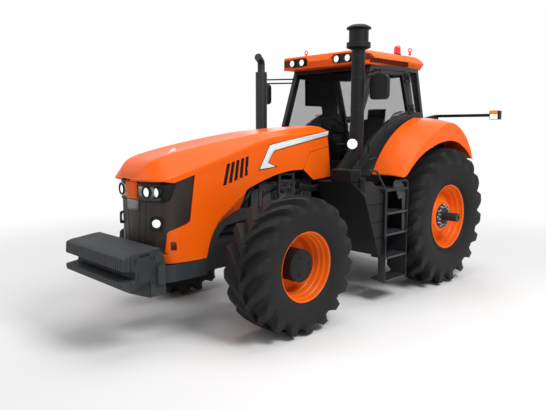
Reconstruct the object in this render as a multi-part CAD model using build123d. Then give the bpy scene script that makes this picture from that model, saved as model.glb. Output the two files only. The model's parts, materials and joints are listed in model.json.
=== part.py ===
from build123d import *
import math
import os

# Farm tractor in millimetres: nose towards -Y, the driver's left +X, Z up.
# The origin is on the ground, at the middle of the overall length and width.

# ---- driving sizes: axles and wheels
wheelbase = 3170
nose_overhang = 1893            # front axle to the face of the weights
tail_overhang = 1443            # rear axle to the ends of the lower links
rear_axle_y = (nose_overhang + wheelbase - tail_overhang) / 2
front_axle_y = rear_axle_y - wheelbase

front_tyre_radius = 800
front_tyre_width = 600
front_half_track = 1140
front_flange_radius = 405
front_hub_radius = 190
front_hub_reach = 170           # hub face outboard of the tyre's middle
front_disc_inset = 75           # wheel disc inboard of the tyre's middle
front_hub_inset = 115           # hub's back face inboard of the tyre's middle

rear_tyre_radius = 1033
rear_tyre_width = 690
rear_half_track = 1085
rear_flange_radius = 480
rear_disc_outset = 185          # bolted face outboard of the tyre's middle
rear_disc_depth = 130           # from the bolted face back to the disc's weld on the rim
rear_hub_radius = 215
bar_axle_radius = 63
bar_axle_reach = 1535           # end of the bar axle from the tractor's middle

front_lugs = 18                 # on each half of the tread
rear_lugs = 19
lug_sweep = 24.5                # degrees from the shoulder to the middle of the tread
lug_start = 6.9                 # angle of the first lug
lug_half = 2.2                  # half a lug's width in degrees
# share of the width, share of the height over the rim
tyre_wall_rows = {"bead": (0.40, 0.0), "wall": (0.485, 0.24)}
# share of the width, share of the sweep, share of the height over the rim, share of lug_half
lug_rows = {"foot": (0.495, 0.0, 0.56, 1.5), "floor": (0.40, 0.0, 0.83, 1.3), "top": (0.46, 0.0, 0.955, 0.8),
            "mid_floor": (0.25, 0.48, 0.855, 1.2), "mid_top": (0.27, 0.48, 0.985, 0.75),
            "end_floor": (0.0, 1.0, 0.87, 1.2), "end_top": (0.0, 1.0, 1.0, 0.75)}

rim_share = 0.42                # half the rim over the tyre's width
rim_flange_lip = 14
rim_well_drop = 58
disc_thickness = 16

# ---- clearances and sheet
running_gap = 0.3               # faces that turn or slide against each other
open_gap = 8                    # clear space round panels that open
sheet = 8                       # fenders and shields

# ---- front axle and steering
kingpin_half = 860
knuckle_radius = 120
knuckle_half_height = 150
spindle_radius = 165
ear_thickness = 60
ear_radius = 78
beam_half_depth = 90
pivot_radius = 45
steer_arm = 190                 # steering eye behind the kingpin
steer_arm_thickness = 30
steer_rod_height = 92           # above the axle's centre
steer_rod_radius = 19
steer_eye_radius = 40
steer_cylinder_radius = 45
steer_cylinder_half = 260

# ---- frame, engine, driveline
frame_half = 230
frame_wall = 40
frame_top = 1060
frame_bottom = 640
frame_nose_reach = 1290         # front axle to the frame's front face
bracket_top = 850
engine_start = 300              # behind the front axle
engine_rear_gap = 170           # engine to the bulkhead
engine_half = 270
engine_bottom = 745
engine_top = 1640
gearbox_half = 290
gearbox_bottom = 640
gearbox_top = 1330
gearbox_tail = 330              # behind the rear axle
axle_tube_radius = 165
axle_case_reach = 900
rear_shaft_radius = 90

# ---- cab: half-widths in plan and stations from the rear axle
cab_front_half = 700
cab_middle_half = 850
cab_rear_half = 800
cab_front_reach = 1500
cab_middle_reach = 360
cab_tail = 180
cab_floor = 1500
cab_waist = 2383
cab_eaves = 3240
windscreen_rake = 334           # how far the front leans back up to the eaves
rear_rake = 280
wall = 55                       # pillars, walls and door frame
floor_thickness = 40
glass = 6
pane_inset = 12                 # glass behind the outer face of its frame
door_gap = 10
door_flange = 15                # outer layer of the door's frame; the rest is set back to swing clear
door_rebate = 14
door_frame_width = 45
door_low = 1840
door_high = cab_eaves - 60
door_rear_low = 300             # door's rear edge before the rear axle, at the fender and at the top
door_rear_high = 480
window_low = cab_waist - 483    # windscreen
rear_window_low = cab_waist - 203
quarter_low = cab_waist + 217
arch_gap = 70                   # wheel arch of the cab's lower walls round the tyre
arch_half = 700
cab_front_y = rear_axle_y - cab_front_reach
cab_middle_y = rear_axle_y - cab_middle_reach
cab_rear_y = rear_axle_y + cab_tail

# ---- roof
roof_bottom = cab_eaves
roof_rise = 234
roof_half = 800
roof_lamp_row = (531, 334)      # lamps from the middle
roof_lamp_rise = 85
roof_pocket = 28                # depth of the lamps' recesses
roof_front_y = cab_front_y + 50
roof_rear_y = cab_rear_y - 60

# ---- hood
hood_gap = 160                  # hood's rear edge to the cab
hood_rear_y = cab_front_y - hood_gap
hood_sheet = 10
hood_low = 870                  # lower edge of the nose's side panels
visor_height = 1790
visor_reach = 1495
fascia_reach = 1385
nose_half = 470
hood_hinge_y = hood_rear_y - 110
hood_hinge_z = 2240
hood_pin_radius = 12
bulkhead_y = hood_rear_y - 40
side_panel_half = 450
louvre_count = 5
arch_lip_start = 380
arch_shield_half = 358          # outer face of the shields between the frame and the steered wheels

fog_lamp = (368, 1325, 46)      # from the middle, height, radius
lamp_row = [(372, visor_height - 123, 58), (250, visor_height - 123, 58), fog_lamp]

# ---- fenders
fender_inner = 905
fender_outer = 1385
fender_foot = 1700
fender_tail_height = 1880
fender_crest_radius = 1470      # crest above the rear axle's centre
strip_band = 45
fender_tail_line = 2545         # height and reach of the tail edge together, clear of the tyre

# ---- tank, steps, platform
tank_side = 1300
tank_inner = 560
tank_bottom = 680
tank_top = 1655
tank_shoulder = 160
tank_grooves = (1375, 1140, 920)
tank_front_y = cab_front_y - 565
step_front_y = cab_front_y - 90
step_width = 510
step_depth = 250
step_reach = 1350               # outer edge of the treads
step_heights = (1250, 965, 650, 335)
step_thickness = 30
step_plate = 12
platform_height = 1560

# ---- weights
weight_plates = 28
weight_pitch = 46
weight_groove = 4               # joint between two plates
weight_pocket = 14              # recesses in the end plates

# ---- three-point hitch
link_pivot_height = 640
link_half_spread = 420
link_eye_radius = 18.7
link_bar_half = 25
lift_arm_height = 1390
lift_arm_half = 330
lift_arm_length = 520
lift_rod_reach = 450            # lift rod's foot behind the lower links' pivot
lift_pin_radius = 15

# ---- door hinges
hinge_radius = 20
hinge_x = cab_middle_half + 28
hinge_heights = (cab_waist + 257, door_high - 90)

front_axle_z = front_tyre_radius
rear_axle_z = rear_tyre_radius
rear_axle_line = (0, rear_axle_y, rear_axle_z)
fender_tail = fender_tail_line - fender_tail_height
door_clearance = fender_crest_radius + 95       # lower rear arc of the door round the rear axle
door_low_rear = rear_axle_z + math.sqrt(door_clearance ** 2 - door_rear_low ** 2)
engine_front_y = front_axle_y + engine_start
engine_rear_y = bulkhead_y - engine_rear_gap
frame_nose_y = front_axle_y - frame_nose_reach
weight_nose_y = front_axle_y - nose_overhang
step_rear_y = step_front_y + step_width
step_inner = step_reach - step_depth


# ---------------------------------------------------------------- shape helpers
def block(x_low, x_high, y_low, y_high, z_low, z_high):
    """A box between two corners."""
    size = (x_high - x_low, y_high - y_low, z_high - z_low)
    return Pos(x_low, y_low, z_low) * Box(*size, align=(Align.MIN, Align.MIN, Align.MIN))


def across(outline, x_low, x_high):
    """A side-view outline, as (y, z) points or a face, carried across the tractor."""
    face = Polygon(*outline, align=None) if isinstance(outline, list) else outline
    return extrude(Plane.YZ.offset(x_low) * face, amount=x_high - x_low, dir=(1, 0, 0))


def lengthwise(outline, y_low, y_high):
    """A front-view outline, as (x, z) points or a face, carried backwards."""
    face = Polygon(*outline, align=None) if isinstance(outline, list) else outline
    return extrude(Plane.XZ.offset(-y_low) * face, amount=y_high - y_low, dir=(0, 1, 0))


def upright(outline, z_low, z_high):
    """A plan outline, as (x, y) points or a face, carried upwards."""
    face = Polygon(*outline, align=None) if isinstance(outline, list) else outline
    return extrude(Pos(0, 0, z_low) * face, amount=z_high - z_low, dir=(0, 0, 1))


def bar(start, end, radius):
    """A round bar between two points."""
    line = Vector(*end) - Vector(*start)
    return extrude(Plane(origin=start, z_dir=line) * Circle(radius), amount=line.length)


def tube(start, end, radius, bore):
    """A round tube between two points."""
    line = Vector(*end) - Vector(*start)
    return extrude(Plane(origin=start, z_dir=line) * (Circle(radius) - Circle(bore)), amount=line.length)


def bent_bar(points, radius, bend):
    """A round bar along straight runs joined by arcs."""
    path = FilletPolyline(*points, radius=bend)
    return sweep(Plane(origin=path @ 0, z_dir=path % 0) * Circle(radius), path=path)


def turned(section, middle):
    """A section of (x, radius) points turned about the crosswise line through middle."""
    return Pos(*middle) * revolve(Plane.XZ * Polygon(*section, align=None), axis=Axis.X)


def grown(outline, margin):
    """An outline as a face, moved outwards by a margin, or inwards by a negative one."""
    face = Polygon(*outline, align=None) if isinstance(outline, list) else outline
    return offset(face, amount=margin, kind=Kind.INTERSECTION) if margin else face


def mirrored(shape):
    """The shape's mirror image on the other side of the tractor."""
    return mirror(shape, about=Plane.YZ)


def on_side(side, shape):
    return shape if side > 0 else mirrored(shape)


def joined(shapes):
    total = shapes[0]
    for shape in shapes[1:]:
        total += shape
    return total


# ---------------------------------------------------------------- wheels
def tyre_spot(x, radius, degrees, middle):
    """The point at a distance across the tyre, a radius and an angle round its axle."""
    turn = math.radians(degrees)
    return (middle[0] + x, middle[1] + radius * math.cos(turn), middle[2] + radius * math.sin(turn))


def tyre_spots(radius, width, flange, lugs, middle):
    """The corners of a tyre's facets, by half, row and number; a bar's rows have two ends each."""
    pitch = 360 / lugs
    height = radius - flange
    flat = 1 / math.cos(math.radians(pitch / 4))
    spots = {}
    for side in (1, -1):
        for row, (share, up) in tyre_wall_rows.items():
            for n in range(2 * lugs):
                spots[side, row, n] = tyre_spot(side * share * width, (flange + height * up) * flat,
                                                lug_start + n * pitch / 2, middle)
        for row, (share, sweep_share, up, wide) in lug_rows.items():
            for k in range(lugs):
                turn = lug_start + (k + (1 - side) / 4) * pitch + lug_sweep * sweep_share
                for end in (-1, 1):
                    spots[side, row, k, end] = tyre_spot(side * share * width, flange + height * up,
                                                         turn + end * wide * lug_half, middle)
    return spots


def tyre_pitch_faces(spots, side, k, lugs):
    """The facets of one pitch of one half: the wall, the bar with its ends, and the floor up to the next bar."""
    left, right = [{row: spots[side, row, k, end] for row in lug_rows} for end in (-1, 1)]
    after = {row: spots[side, row, (k + 1) % lugs, -1] for row in lug_rows}
    first = 2 * k + (1 - side) // 2
    bead, wall = [[spots[side, row, (first + n) % (2 * lugs)] for n in range(3)] for row in tyre_wall_rows]
    inner, outer = [spots[-side, "end_floor", (k + (1 - side) // 2) % lugs, end] for end in (-1, 1)]
    faces = [
        (bead[0], wall[0], wall[1], bead[1]), (bead[1], wall[1], wall[2], bead[2]),
        (wall[0], left["foot"], right["foot"]), (wall[0], right["foot"], wall[1]),
        (wall[1], right["foot"], after["foot"]), (wall[1], after["foot"], wall[2]),
        (right["foot"], right["floor"], after["floor"], after["foot"]),
        (left["foot"], left["top"], right["top"], right["foot"]),
        (left["foot"], left["floor"], left["top"]), (right["foot"], right["top"], right["floor"]),
        (right["floor"], right["mid_floor"], after["mid_floor"]), (right["floor"], after["mid_floor"], after["floor"]),
        (right["mid_floor"], right["end_floor"], inner), (right["mid_floor"], inner, after["mid_floor"]),
        (inner, outer, after["mid_floor"]), (outer, after["end_floor"], after["mid_floor"]),
        (left["end_floor"], right["end_floor"], right["end_top"], left["end_top"])]
    for floor, top, next_floor, next_top in (("floor", "top", "mid_floor", "mid_top"),
                                             ("mid_floor", "mid_top", "end_floor", "end_top")):
        faces += [(left[floor], left[next_floor], left[next_top]), (left[floor], left[next_top], left[top]),
                  (right[floor], right[top], right[next_top]), (right[floor], right[next_top], right[next_floor]),
                  (left[top], left[next_top], right[next_top]), (left[top], right[next_top], right[top])]
    return [face if side > 0 else face[::-1] for face in faces]


def tyre(radius, width, flange, lugs, middle):
    """A tyre as one closed shell of flat facets, with slanted bars half a pitch apart on its two halves."""
    spots = tyre_spots(radius, width, flange, lugs, middle)
    faces = []
    for k in range(lugs):
        faces += tyre_pitch_faces(spots, 1, k, lugs) + tyre_pitch_faces(spots, -1, k, lugs)
    for n in range(2 * lugs):
        after = (n + 1) % (2 * lugs)
        faces.append((spots[1, "bead", n], spots[1, "bead", after], spots[-1, "bead", after], spots[-1, "bead", n]))
    return Solid(Shell([Face(Wire.make_polygon(face, close=True)) for face in faces]))


def rim_section(flange, half_width):
    """The rim's rolled sheet; columns: share of the half width, drop below the flange, outside then inside."""
    outside = [(1.0, 0), (0.95, 0), (0.93, 22), (0.76, 26), (0.70, rim_well_drop)]
    lip = rim_flange_lip
    inside = [(1.0, lip), (0.97, 22 + lip), (0.79, 26 + lip), (0.73, rim_well_drop + lip)]
    outer = [(half_width * share, flange - drop) for share, drop in outside]
    inner = [(half_width * share, flange - drop) for share, drop in inside]
    half = list(reversed(outer)) + inner
    return half + [(-x, r) for x, r in reversed(half)]


def front_wheel():
    """Tyre, rim and hub of the left front wheel."""
    middle = (front_half_track, front_axle_y, front_axle_z)
    well = front_flange_radius - rim_well_drop - rim_flange_lip
    face, back = -front_disc_inset, -front_disc_inset - disc_thickness
    rubber = tyre(front_tyre_radius, front_tyre_width, front_flange_radius, front_lugs, middle)
    rim = turned(rim_section(front_flange_radius, front_tyre_width * rim_share), middle)
    rim += turned([(face, front_hub_radius), (face, front_hub_radius + 35), (face - 70, well + 4),
                   (back - 70, well + 4), (back, front_hub_radius + 30), (back, front_hub_radius)], middle)
    chamfer_size = 14
    hub = turned([(-front_hub_inset, 0), (front_hub_reach, 0),
                  (front_hub_reach, front_hub_radius - chamfer_size),
                  (front_hub_reach - chamfer_size, front_hub_radius), (-front_hub_inset, front_hub_radius)], middle)
    return rubber, rim, hub


def rear_wheel():
    """Tyre, rim, bar axle and hub of the left rear wheel."""
    middle = (rear_half_track, rear_axle_y, rear_axle_z)
    well = rear_flange_radius - rim_well_drop - rim_flange_lip
    face, back = rear_disc_outset, rear_disc_outset - disc_thickness
    rubber = tyre(rear_tyre_radius, rear_tyre_width, rear_flange_radius, rear_lugs, middle)
    rim = turned(rim_section(rear_flange_radius, rear_tyre_width * rim_share), middle)
    rim += turned([(face, rear_shaft_radius), (face, rear_hub_radius), (face - rear_disc_depth, well - 30),
                   (face - rear_disc_depth, well + 4), (back - rear_disc_depth, well + 4),
                   (back - rear_disc_depth, well - 36), (back, rear_hub_radius - 8), (back, rear_shaft_radius)],
                  middle)
    reach = bar_axle_reach - rear_half_track
    start = axle_case_reach - rear_half_track
    flange = bar_axle_radius + 12
    axle = turned([(start, 0), (start, rear_shaft_radius), (face, rear_shaft_radius), (face, bar_axle_radius),
                   (reach - 35, bar_axle_radius), (reach - 35, flange), (reach, flange), (reach, 0)], middle)
    hub = turned([(back, rear_shaft_radius), (back, rear_hub_radius - 25), (back - 50, rear_hub_radius - 40),
                  (back - 110, rear_shaft_radius + 20), (back - 110, rear_shaft_radius)], middle)
    return rubber, rim, axle + hub


# ---------------------------------------------------------------- front axle and steering
def front_axle():
    """The beam, with a pair of ears round each knuckle."""
    z = front_axle_z
    ear_inner = kingpin_half - knuckle_radius - 40
    low, high = z - 120, z + 90
    right = [(0, low), (180, low), (420, low + 45), (ear_inner, low + 45), (ear_inner, high - 30),
             (420, high - 30), (180, high)]
    beam = lengthwise(right + [(-x, up) for x, up in reversed(right)], front_axle_y - beam_half_depth,
                      front_axle_y + beam_half_depth)
    reach = knuckle_half_height + running_gap
    ends = block(ear_inner - 60, ear_inner, front_axle_y - ear_radius, front_axle_y + ear_radius,
                 z - reach - ear_thickness, z + reach + ear_thickness)
    for level in (z - reach - ear_thickness, z + reach):
        ends += block(ear_inner - 60, kingpin_half, front_axle_y - ear_radius, front_axle_y + ear_radius,
                      level, level + ear_thickness)
        ends += Pos(kingpin_half, front_axle_y, level + ear_thickness / 2) * Cylinder(ear_radius, ear_thickness)
    return beam + ends + mirrored(ends)


def knuckle():
    """Left steering knuckle: turning post, spindle flange and steering arm."""
    z = front_axle_z
    face = front_half_track - front_hub_inset - running_gap
    shape = Pos(kingpin_half, front_axle_y, z) * Cylinder(knuckle_radius, 2 * knuckle_half_height)
    shape += bar((kingpin_half, front_axle_y, z), (face, front_axle_y, z), knuckle_radius - 5)
    shape += bar((face - 45, front_axle_y, z), (face, front_axle_y, z), spindle_radius)
    top = z + steer_rod_height - steer_eye_radius - running_gap
    eye_y = front_axle_y + steer_arm
    shape += block(kingpin_half - 45, kingpin_half + 45, front_axle_y, eye_y, top - steer_arm_thickness, top)
    shape += Pos(kingpin_half, eye_y, top - steer_arm_thickness / 2) * Cylinder(45, steer_arm_thickness)
    return shape


def steering_rod():
    """The double-ended steering rod, with an eye lying over each steering arm."""
    z = front_axle_z + steer_rod_height
    y = front_axle_y + steer_arm
    rod = bar((-kingpin_half, y, z), (kingpin_half, y, z), steer_rod_radius)
    for side in (-1, 1):
        rod += Pos(side * kingpin_half, y, z) * Cylinder(steer_eye_radius, 2 * steer_eye_radius)
    return rod


def steering_cylinder():
    """The steering cylinder's barrel, bolted to the back of the axle beam."""
    z = front_axle_z + steer_rod_height
    y = front_axle_y + steer_arm
    half = steer_cylinder_half
    barrel = tube((-half, y, z), (half, y, z), steer_cylinder_radius, steer_rod_radius + running_gap)
    for side in (-1, 1):
        middle = side * (half - 60)
        barrel += block(middle - 30, middle + 30, front_axle_y + beam_half_depth, y - steer_rod_radius - 10,
                        z - 60, z)
    return barrel


# ---------------------------------------------------------------- frame, engine, driveline
def front_frame():
    """Cast front frame: it holds the beam's middle pivot, the radiator and the weights."""
    over_beam = front_axle_z + 100
    over_cylinder = front_axle_z + steer_rod_height + steer_cylinder_radius + 25
    outline = [(frame_nose_y, frame_bottom), (front_axle_y - 180, frame_bottom), (front_axle_y - 120, over_beam),
               (front_axle_y + 100, over_beam), (front_axle_y + 100, over_cylinder),
               (engine_front_y, over_cylinder), (engine_front_y, frame_top), (frame_nose_y, frame_top)]
    shape = across(outline, -frame_half, frame_half)
    shape -= block(frame_wall - frame_half, frame_half - frame_wall, front_axle_y - 140, engine_front_y - 40,
                   0, frame_top - 40)
    for low, high in ((front_axle_y - 170, front_axle_y - beam_half_depth - running_gap),
                      (front_axle_y + beam_half_depth + running_gap, front_axle_y + 130)):
        shape += block(-95, 95, low, high, front_axle_z - 55, frame_top)
    return shape + block(-frame_half, frame_half, weight_nose_y + 508, frame_nose_y, frame_bottom + 20, bracket_top)


def axle_pivot():
    """The pin that the front beam rocks on."""
    return bar((0, front_axle_y - 180, front_axle_z), (0, front_axle_y + 140, front_axle_z), pivot_radius)


def pivot_bore():
    return bar((0, front_axle_y - 200, front_axle_z), (0, front_axle_y + 200, front_axle_z), pivot_radius + running_gap)


def engine():
    """The engine as one plain block, with its sump."""
    body = block(-engine_half, engine_half, engine_front_y, engine_rear_y, engine_bottom + 220, engine_top)
    return body + block(80 - engine_half, engine_half - 80, engine_front_y, engine_rear_y, engine_bottom,
                        engine_bottom + 220)


def gearbox():
    """Gearbox and rear axle centre in one housing."""
    back = rear_axle_y + gearbox_tail
    outline = [(engine_rear_y, gearbox_bottom), (back, gearbox_bottom),
               (back, gearbox_top), (engine_rear_y + 450, gearbox_top), (engine_rear_y, gearbox_top - 80)]
    return across(outline, -gearbox_half, gearbox_half)


def rear_axle_case():
    """Left axle tube, from the gearbox out to the wheel."""
    start, end = gearbox_half, axle_case_reach - running_gap
    big, small = axle_tube_radius + 45, axle_tube_radius - 25
    return turned([(start, 0), (start, big), (start + 60, big), (start + 150, axle_tube_radius),
                   (end - 60, small), (end - 60, axle_tube_radius), (end, axle_tube_radius), (end, 0)],
                  rear_axle_line)


def radiator():
    """Radiator pack in its frame, standing on the front frame."""
    return block(-370, 370, front_axle_y - 830, front_axle_y - 640, frame_top, 1860)


def drive_shaft():
    """The shaft to the front axle, under the engine's sump."""
    z = engine_bottom - 45
    return bar((0, front_axle_y + beam_half_depth, z), (0, engine_rear_y, z), 35)


# ---------------------------------------------------------------- front weights
def weights():
    """The row of weight plates, each from one side-view outline with its hand slot notch."""
    y = weight_nose_y
    outline = [(y + 16, 1084), (y + 74, 1089), (y + 344, 1121), (y + 441, 1127), (y + 507, 1005),
               (y + 508, 622), (y + 315, 616), (y + 97, 703), (y + 8, 751), (y, 816), (y + 151, 836),
               (y + 154, 914), (y + 5, 941)]
    half = weight_plates * weight_pitch / 2
    row = across(grown(outline, -weight_groove), -half, half)
    plates = [across(outline, k * weight_pitch - half + weight_groove / 2, (k + 1) * weight_pitch - half - weight_groove / 2)
              for k in range(weight_plates)]
    stack = row + plates
    for side in (-1, 1):
        face = sorted((side * (half - weight_pocket), side * (half + 10)))
        stack -= block(*face, y + 195, y + 325, 1030, 1070)
        stack -= block(*face, y + 185, y + 335, 780, 905)
    return stack


# ---------------------------------------------------------------- hood
def hood_section(row, inset):
    """A cross-section from (station, middle, shoulder and crease height, shoulder and side half)."""
    station, middle, shoulder, crease, shoulder_half, side_half = row
    side, top = side_half - inset, shoulder_half - inset / 2
    crease_z, shoulder_z = crease - inset / 2, shoulder - inset
    low = 500 - inset
    edges = [Line((-side, low), (side, low)), Line((side, low), (side, crease_z)),
             Line((side, crease_z), (top, shoulder_z)),
             ThreePointArc((top, shoulder_z), (0, middle - inset), (-top, shoulder_z)),
             Line((-top, shoulder_z), (-side, crease_z)), Line((-side, crease_z), (-side, low))]
    return Plane.XZ.offset(-(front_axle_y + station)) * make_face(edges)


def hood_plan(reach, half, inset, z_low, z_high):
    """Plan outline of the nose: a bowed front with round corners, carried upwards."""
    nose, side = front_axle_y - reach + inset, half - inset
    bow, corner = nose + 75, nose + 290
    edges = [ThreePointArc((-side, corner), (-side * 0.94, nose + 160), (-side * 0.76, bow)),
             ThreePointArc((-side * 0.76, bow), (0, nose), (side * 0.76, bow)),
             ThreePointArc((side * 0.76, bow), (side * 0.94, nose + 160), (side, corner)),
             Line((side, corner), (side, hood_rear_y)), Line((side, hood_rear_y), (-side, hood_rear_y)),
             Line((-side, hood_rear_y), (-side, corner))]
    return upright(make_face(edges), z_low, z_high)


def hood_form(inset):
    """The hood's solid form, or the same form inside its sheet."""
    rear = hood_rear_y - front_axle_y
    # station from the front axle, middle height, shoulder height, crease height, shoulder half, side half
    visor = visor_height
    table = [(-1500, visor + 58, visor + 45, visor + 10, 330, 472),
             (-1320, visor + 232, visor + 195, visor + 16, 300, 472),
             (-784, 2154, 2112, 1921, 350, 464),
             (-189, 2260, 2222, 2096, 372, 458),
             (483, 2338, 2308, 2246, 365, 454),
             (rear, 2385, 2362, 2312, 330, 450)]
    body = loft([hood_section(row, inset) for row in table], ruled=True)
    upper = hood_plan(visor_reach, nose_half + 5, inset, visor_height + inset, 2600)
    lower = hood_plan(fascia_reach, nose_half, inset, 500 - inset, visor_height + inset)
    return body & (upper + lower)


def hood_side_view():
    """What belongs to the hood in side view; below it are the wheel arch and the fixed rear panels."""
    y, rear = front_axle_y, hood_rear_y
    return [(y - 1700, hood_low), (y - 709, hood_low), (y - 659, 1057), (y - 562, 1252), (y - 367, 1401),
            (y - 88, 1609), (y - 29, 1638), (y + 406, 1761), (y + 709, 1806), (y + 855, 1809),
            (y + 930, 1808), (y + 1066, 2039), (rear - 62, 2111), (rear - 94, 2314), (rear - 105, 2600),
            (y - 1700, 2600)]


def grille_side_view():
    """The dark grille's share of the nose in side view."""
    y, top = front_axle_y, visor_height
    return [(y - 1700, top - 20), (y - 1184, top), (y - 899, top + 80), (y - 856, top + 55), (y - 934, 1323),
            (y - 1190, 1238), (y - 1227, 1000), (y - 1700, 1000)]


def louvre_slots():
    """The slanted slots in the hood's side, set out along the recess's lower edge."""
    y = front_axle_y
    slots = []
    for k in range(louvre_count):
        low = (y - 430 + 84.5 * k, 1690 + 23.5 * k)
        high = (y - 367 + 73.5 * k, 1945 + 17.5 * k)
        outline = [(low[0] - 17, low[1] - 4), (low[0] + 17, low[1] + 4), (high[0] + 17, high[1] + 4), (high[0] - 17, high[1] - 4)]
        slots += [across(outline, 300, 600), across(outline, -600, -300)]
    return slots


def arch_lip():
    """The hood's inner lip along the wheel arch."""
    y = front_axle_y
    edge = across(hood_side_view(), arch_lip_start, nose_half - 4)
    edge -= across(grown(hood_side_view(), -hood_sheet), arch_lip_start - 10, nose_half)
    edge &= block(0, 600, y - 705, y - 100, hood_low + 40, 1640)
    return edge + mirrored(edge)


def corner_pockets():
    """The shallow rectangular recesses in the nose's lower corners."""
    y = front_axle_y - fascia_reach
    pocket = block(400, 600, y + 105, y + 185, 1030, 1130)
    pocket &= hood_plan(fascia_reach, nose_half, -5, 900, 1200) - hood_plan(fascia_reach, nose_half, 5, 800, 1300)
    return [pocket, mirrored(pocket)]


def hood():
    """The one-piece hood: top, visor and sides, open for the grille and lamps, with its hinge ears."""
    form = hood_form(0)
    shell = form - hood_form(hood_sheet)
    shell &= across(hood_side_view(), -600, 600)
    shell -= across(grille_side_view(), -600, 600)
    shell = (shell - louvre_slots() - corner_pockets()) + arch_lip()
    ears = block(215, 235, hood_hinge_y - 25, hood_hinge_y + 25, hood_hinge_z - 22, 2400)
    ears = (ears + mirrored(ears)) & hood_form(hood_sheet / 2)
    return (shell + ears) - bar((-300, hood_hinge_y, hood_hinge_z), (300, hood_hinge_y, hood_hinge_z),
                                hood_pin_radius + running_gap)


def bulkhead():
    """The plate between the engine and the cab that carries the hood's hinge pin and the fixed side panels."""
    plate = block(12 - side_panel_half, side_panel_half - 12, bulkhead_y, bulkhead_y + 12, 1200, hood_hinge_z - 10) - gearbox()
    plate += block(-side_panel_half, side_panel_half, bulkhead_y, bulkhead_y + 12, 1700, 2060)
    arm = block(240, 256, hood_hinge_y - 18, bulkhead_y + 12, hood_hinge_z - 18, hood_hinge_z + 18)
    pin = bar((-262, hood_hinge_y, hood_hinge_z), (262, hood_hinge_y, hood_hinge_z), hood_pin_radius)
    return joined([plate, arm, mirrored(arm), pin])


def grille():
    """The dark grille panel that fills the hood's opening from inside."""
    panel = hood_form(hood_sheet) - hood_form(hood_sheet + 12)
    panel &= across(grown(grille_side_view(), 25), -600, 600)
    panel &= block(-600, 600, front_axle_y - 1600, front_axle_y - 700, 900, visor_height)
    nose_y = front_axle_y - fascia_reach
    creases = hood_plan(fascia_reach, nose_half, 0, 900, 1600) - hood_plan(fascia_reach, nose_half, hood_sheet + 6, 800, 1700)
    for low_x, high_x in ((85, 122), (205, 228)):
        fold = lengthwise([(low_x - 6, 1000), (low_x + 6, 1000), (high_x + 6, 1550), (high_x - 6, 1550)], nose_y - 20, nose_y + 60)
        panel -= (fold + mirrored(fold)) & creases
    raised = hood_plan(fascia_reach, nose_half, -4, 1000, 1600) - hood_plan(fascia_reach, nose_half, hood_sheet, 900, 1700)
    low, high = visor_height - 338, visor_height - 222
    mesh = lengthwise([(-106, low), (106, low), (122, high), (-122, high)], nose_y - 50, nose_y + 60)
    x, z = fog_lamp[:2]
    bezel = lengthwise(Pos(x, z) * RectangleRounded(150, 146, 24), nose_y - 50, nose_y + 200)
    return panel + ((mesh + bezel + mirrored(bezel)) & raised)


def hood_side_panel():
    """The fixed panel under the hood's left rear corner."""
    y = front_axle_y
    outline = [(y + 935, 1795), (y + 1000, 1753), (y + 1136, 1655), (hood_rear_y - 12, 1681),
               (hood_rear_y - 59, 2088), (y + 1076, 2028)]
    return across(outline, side_panel_half - hood_sheet, side_panel_half)


def arch_shields():
    """The dark plates between the frame and the steered wheels, each on two brackets."""
    y = front_axle_y
    outline = [(y - 700, 880), (y - 690, 1045), (y - 632, 1050), (y - 560, 1225), (y - 390, 1370), (y - 250, 1398), (y + 160, 1354),
               (y + 160, 1250), (y - 330, 1190), (y - 480, 1040), (y - 520, 880)]
    plate = across(outline, arch_shield_half - sheet, arch_shield_half)
    # distance before the axle, height, inner end
    for reach, height, start in ((590, 960, frame_half), (360, 1240, frame_half - 30)):
        plate += block(start, arch_shield_half - sheet, y - reach - 25, y - reach + 25, height, height + sheet)
    return plate + block(frame_half - 30, frame_half - 30 + sheet, y - 385, y - 335, frame_top, 1240 + sheet)


def skirt():
    """The dark band under the nose, on brackets from the frame."""
    y = front_axle_y
    top = hood_low - open_gap
    band = hood_plan(fascia_reach, nose_half, 0, 670, top) - hood_plan(fascia_reach, nose_half, 12, 600, top + 50)
    band &= block(-600, 600, y - 1600, y - 709, 600, top)
    for station in (1150, 780):
        bracket = block(frame_half, nose_half - 6, y - station - 40, y - station + 40, 700, 712)
        band += bracket + mirrored(bracket)
    return band - block(-frame_half - 4, frame_half + 4, y - 1600, y - 1200, 600, top + 10)


# ---------------------------------------------------------------- cab
def cab_plan(height, inset):
    """Plan outline of the cab at one height: front, middle and rear corners of both sides."""
    share = max(0, (height - cab_waist) / (cab_eaves - cab_waist))
    front = cab_front_y + windscreen_rake * share
    rear = cab_rear_y - rear_rake * share
    taper = (cab_middle_half - cab_front_half) / (cab_middle_y - cab_front_y)
    tail = (cab_middle_half - cab_rear_half) / (cab_rear_y - cab_middle_y)
    front_x = cab_front_half + (front - cab_front_y) * taper - inset
    rear_x = cab_middle_half - (rear - cab_middle_y) * tail - inset
    left = [(front_x, front + inset), (cab_middle_half - inset, cab_middle_y), (rear_x, rear - inset)]
    return Polygon(*left, *[(-x, y) for x, y in reversed(left)], align=None)


def cab_form(inset, low, high):
    """The cab's solid form, or the same form further in, with its wheel arches."""
    form = upright(cab_plan(cab_floor, inset), low, cab_waist)
    form += loft([Pos(0, 0, height) * cab_plan(height, inset) for height in (cab_waist, high)], ruled=True)
    radius = rear_tyre_radius + arch_gap + inset
    side = arch_half - inset
    arch = bar((side, rear_axle_y, rear_axle_z), (side + 400, rear_axle_y, rear_axle_z), radius)
    return form - arch - mirrored(arch)


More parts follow.
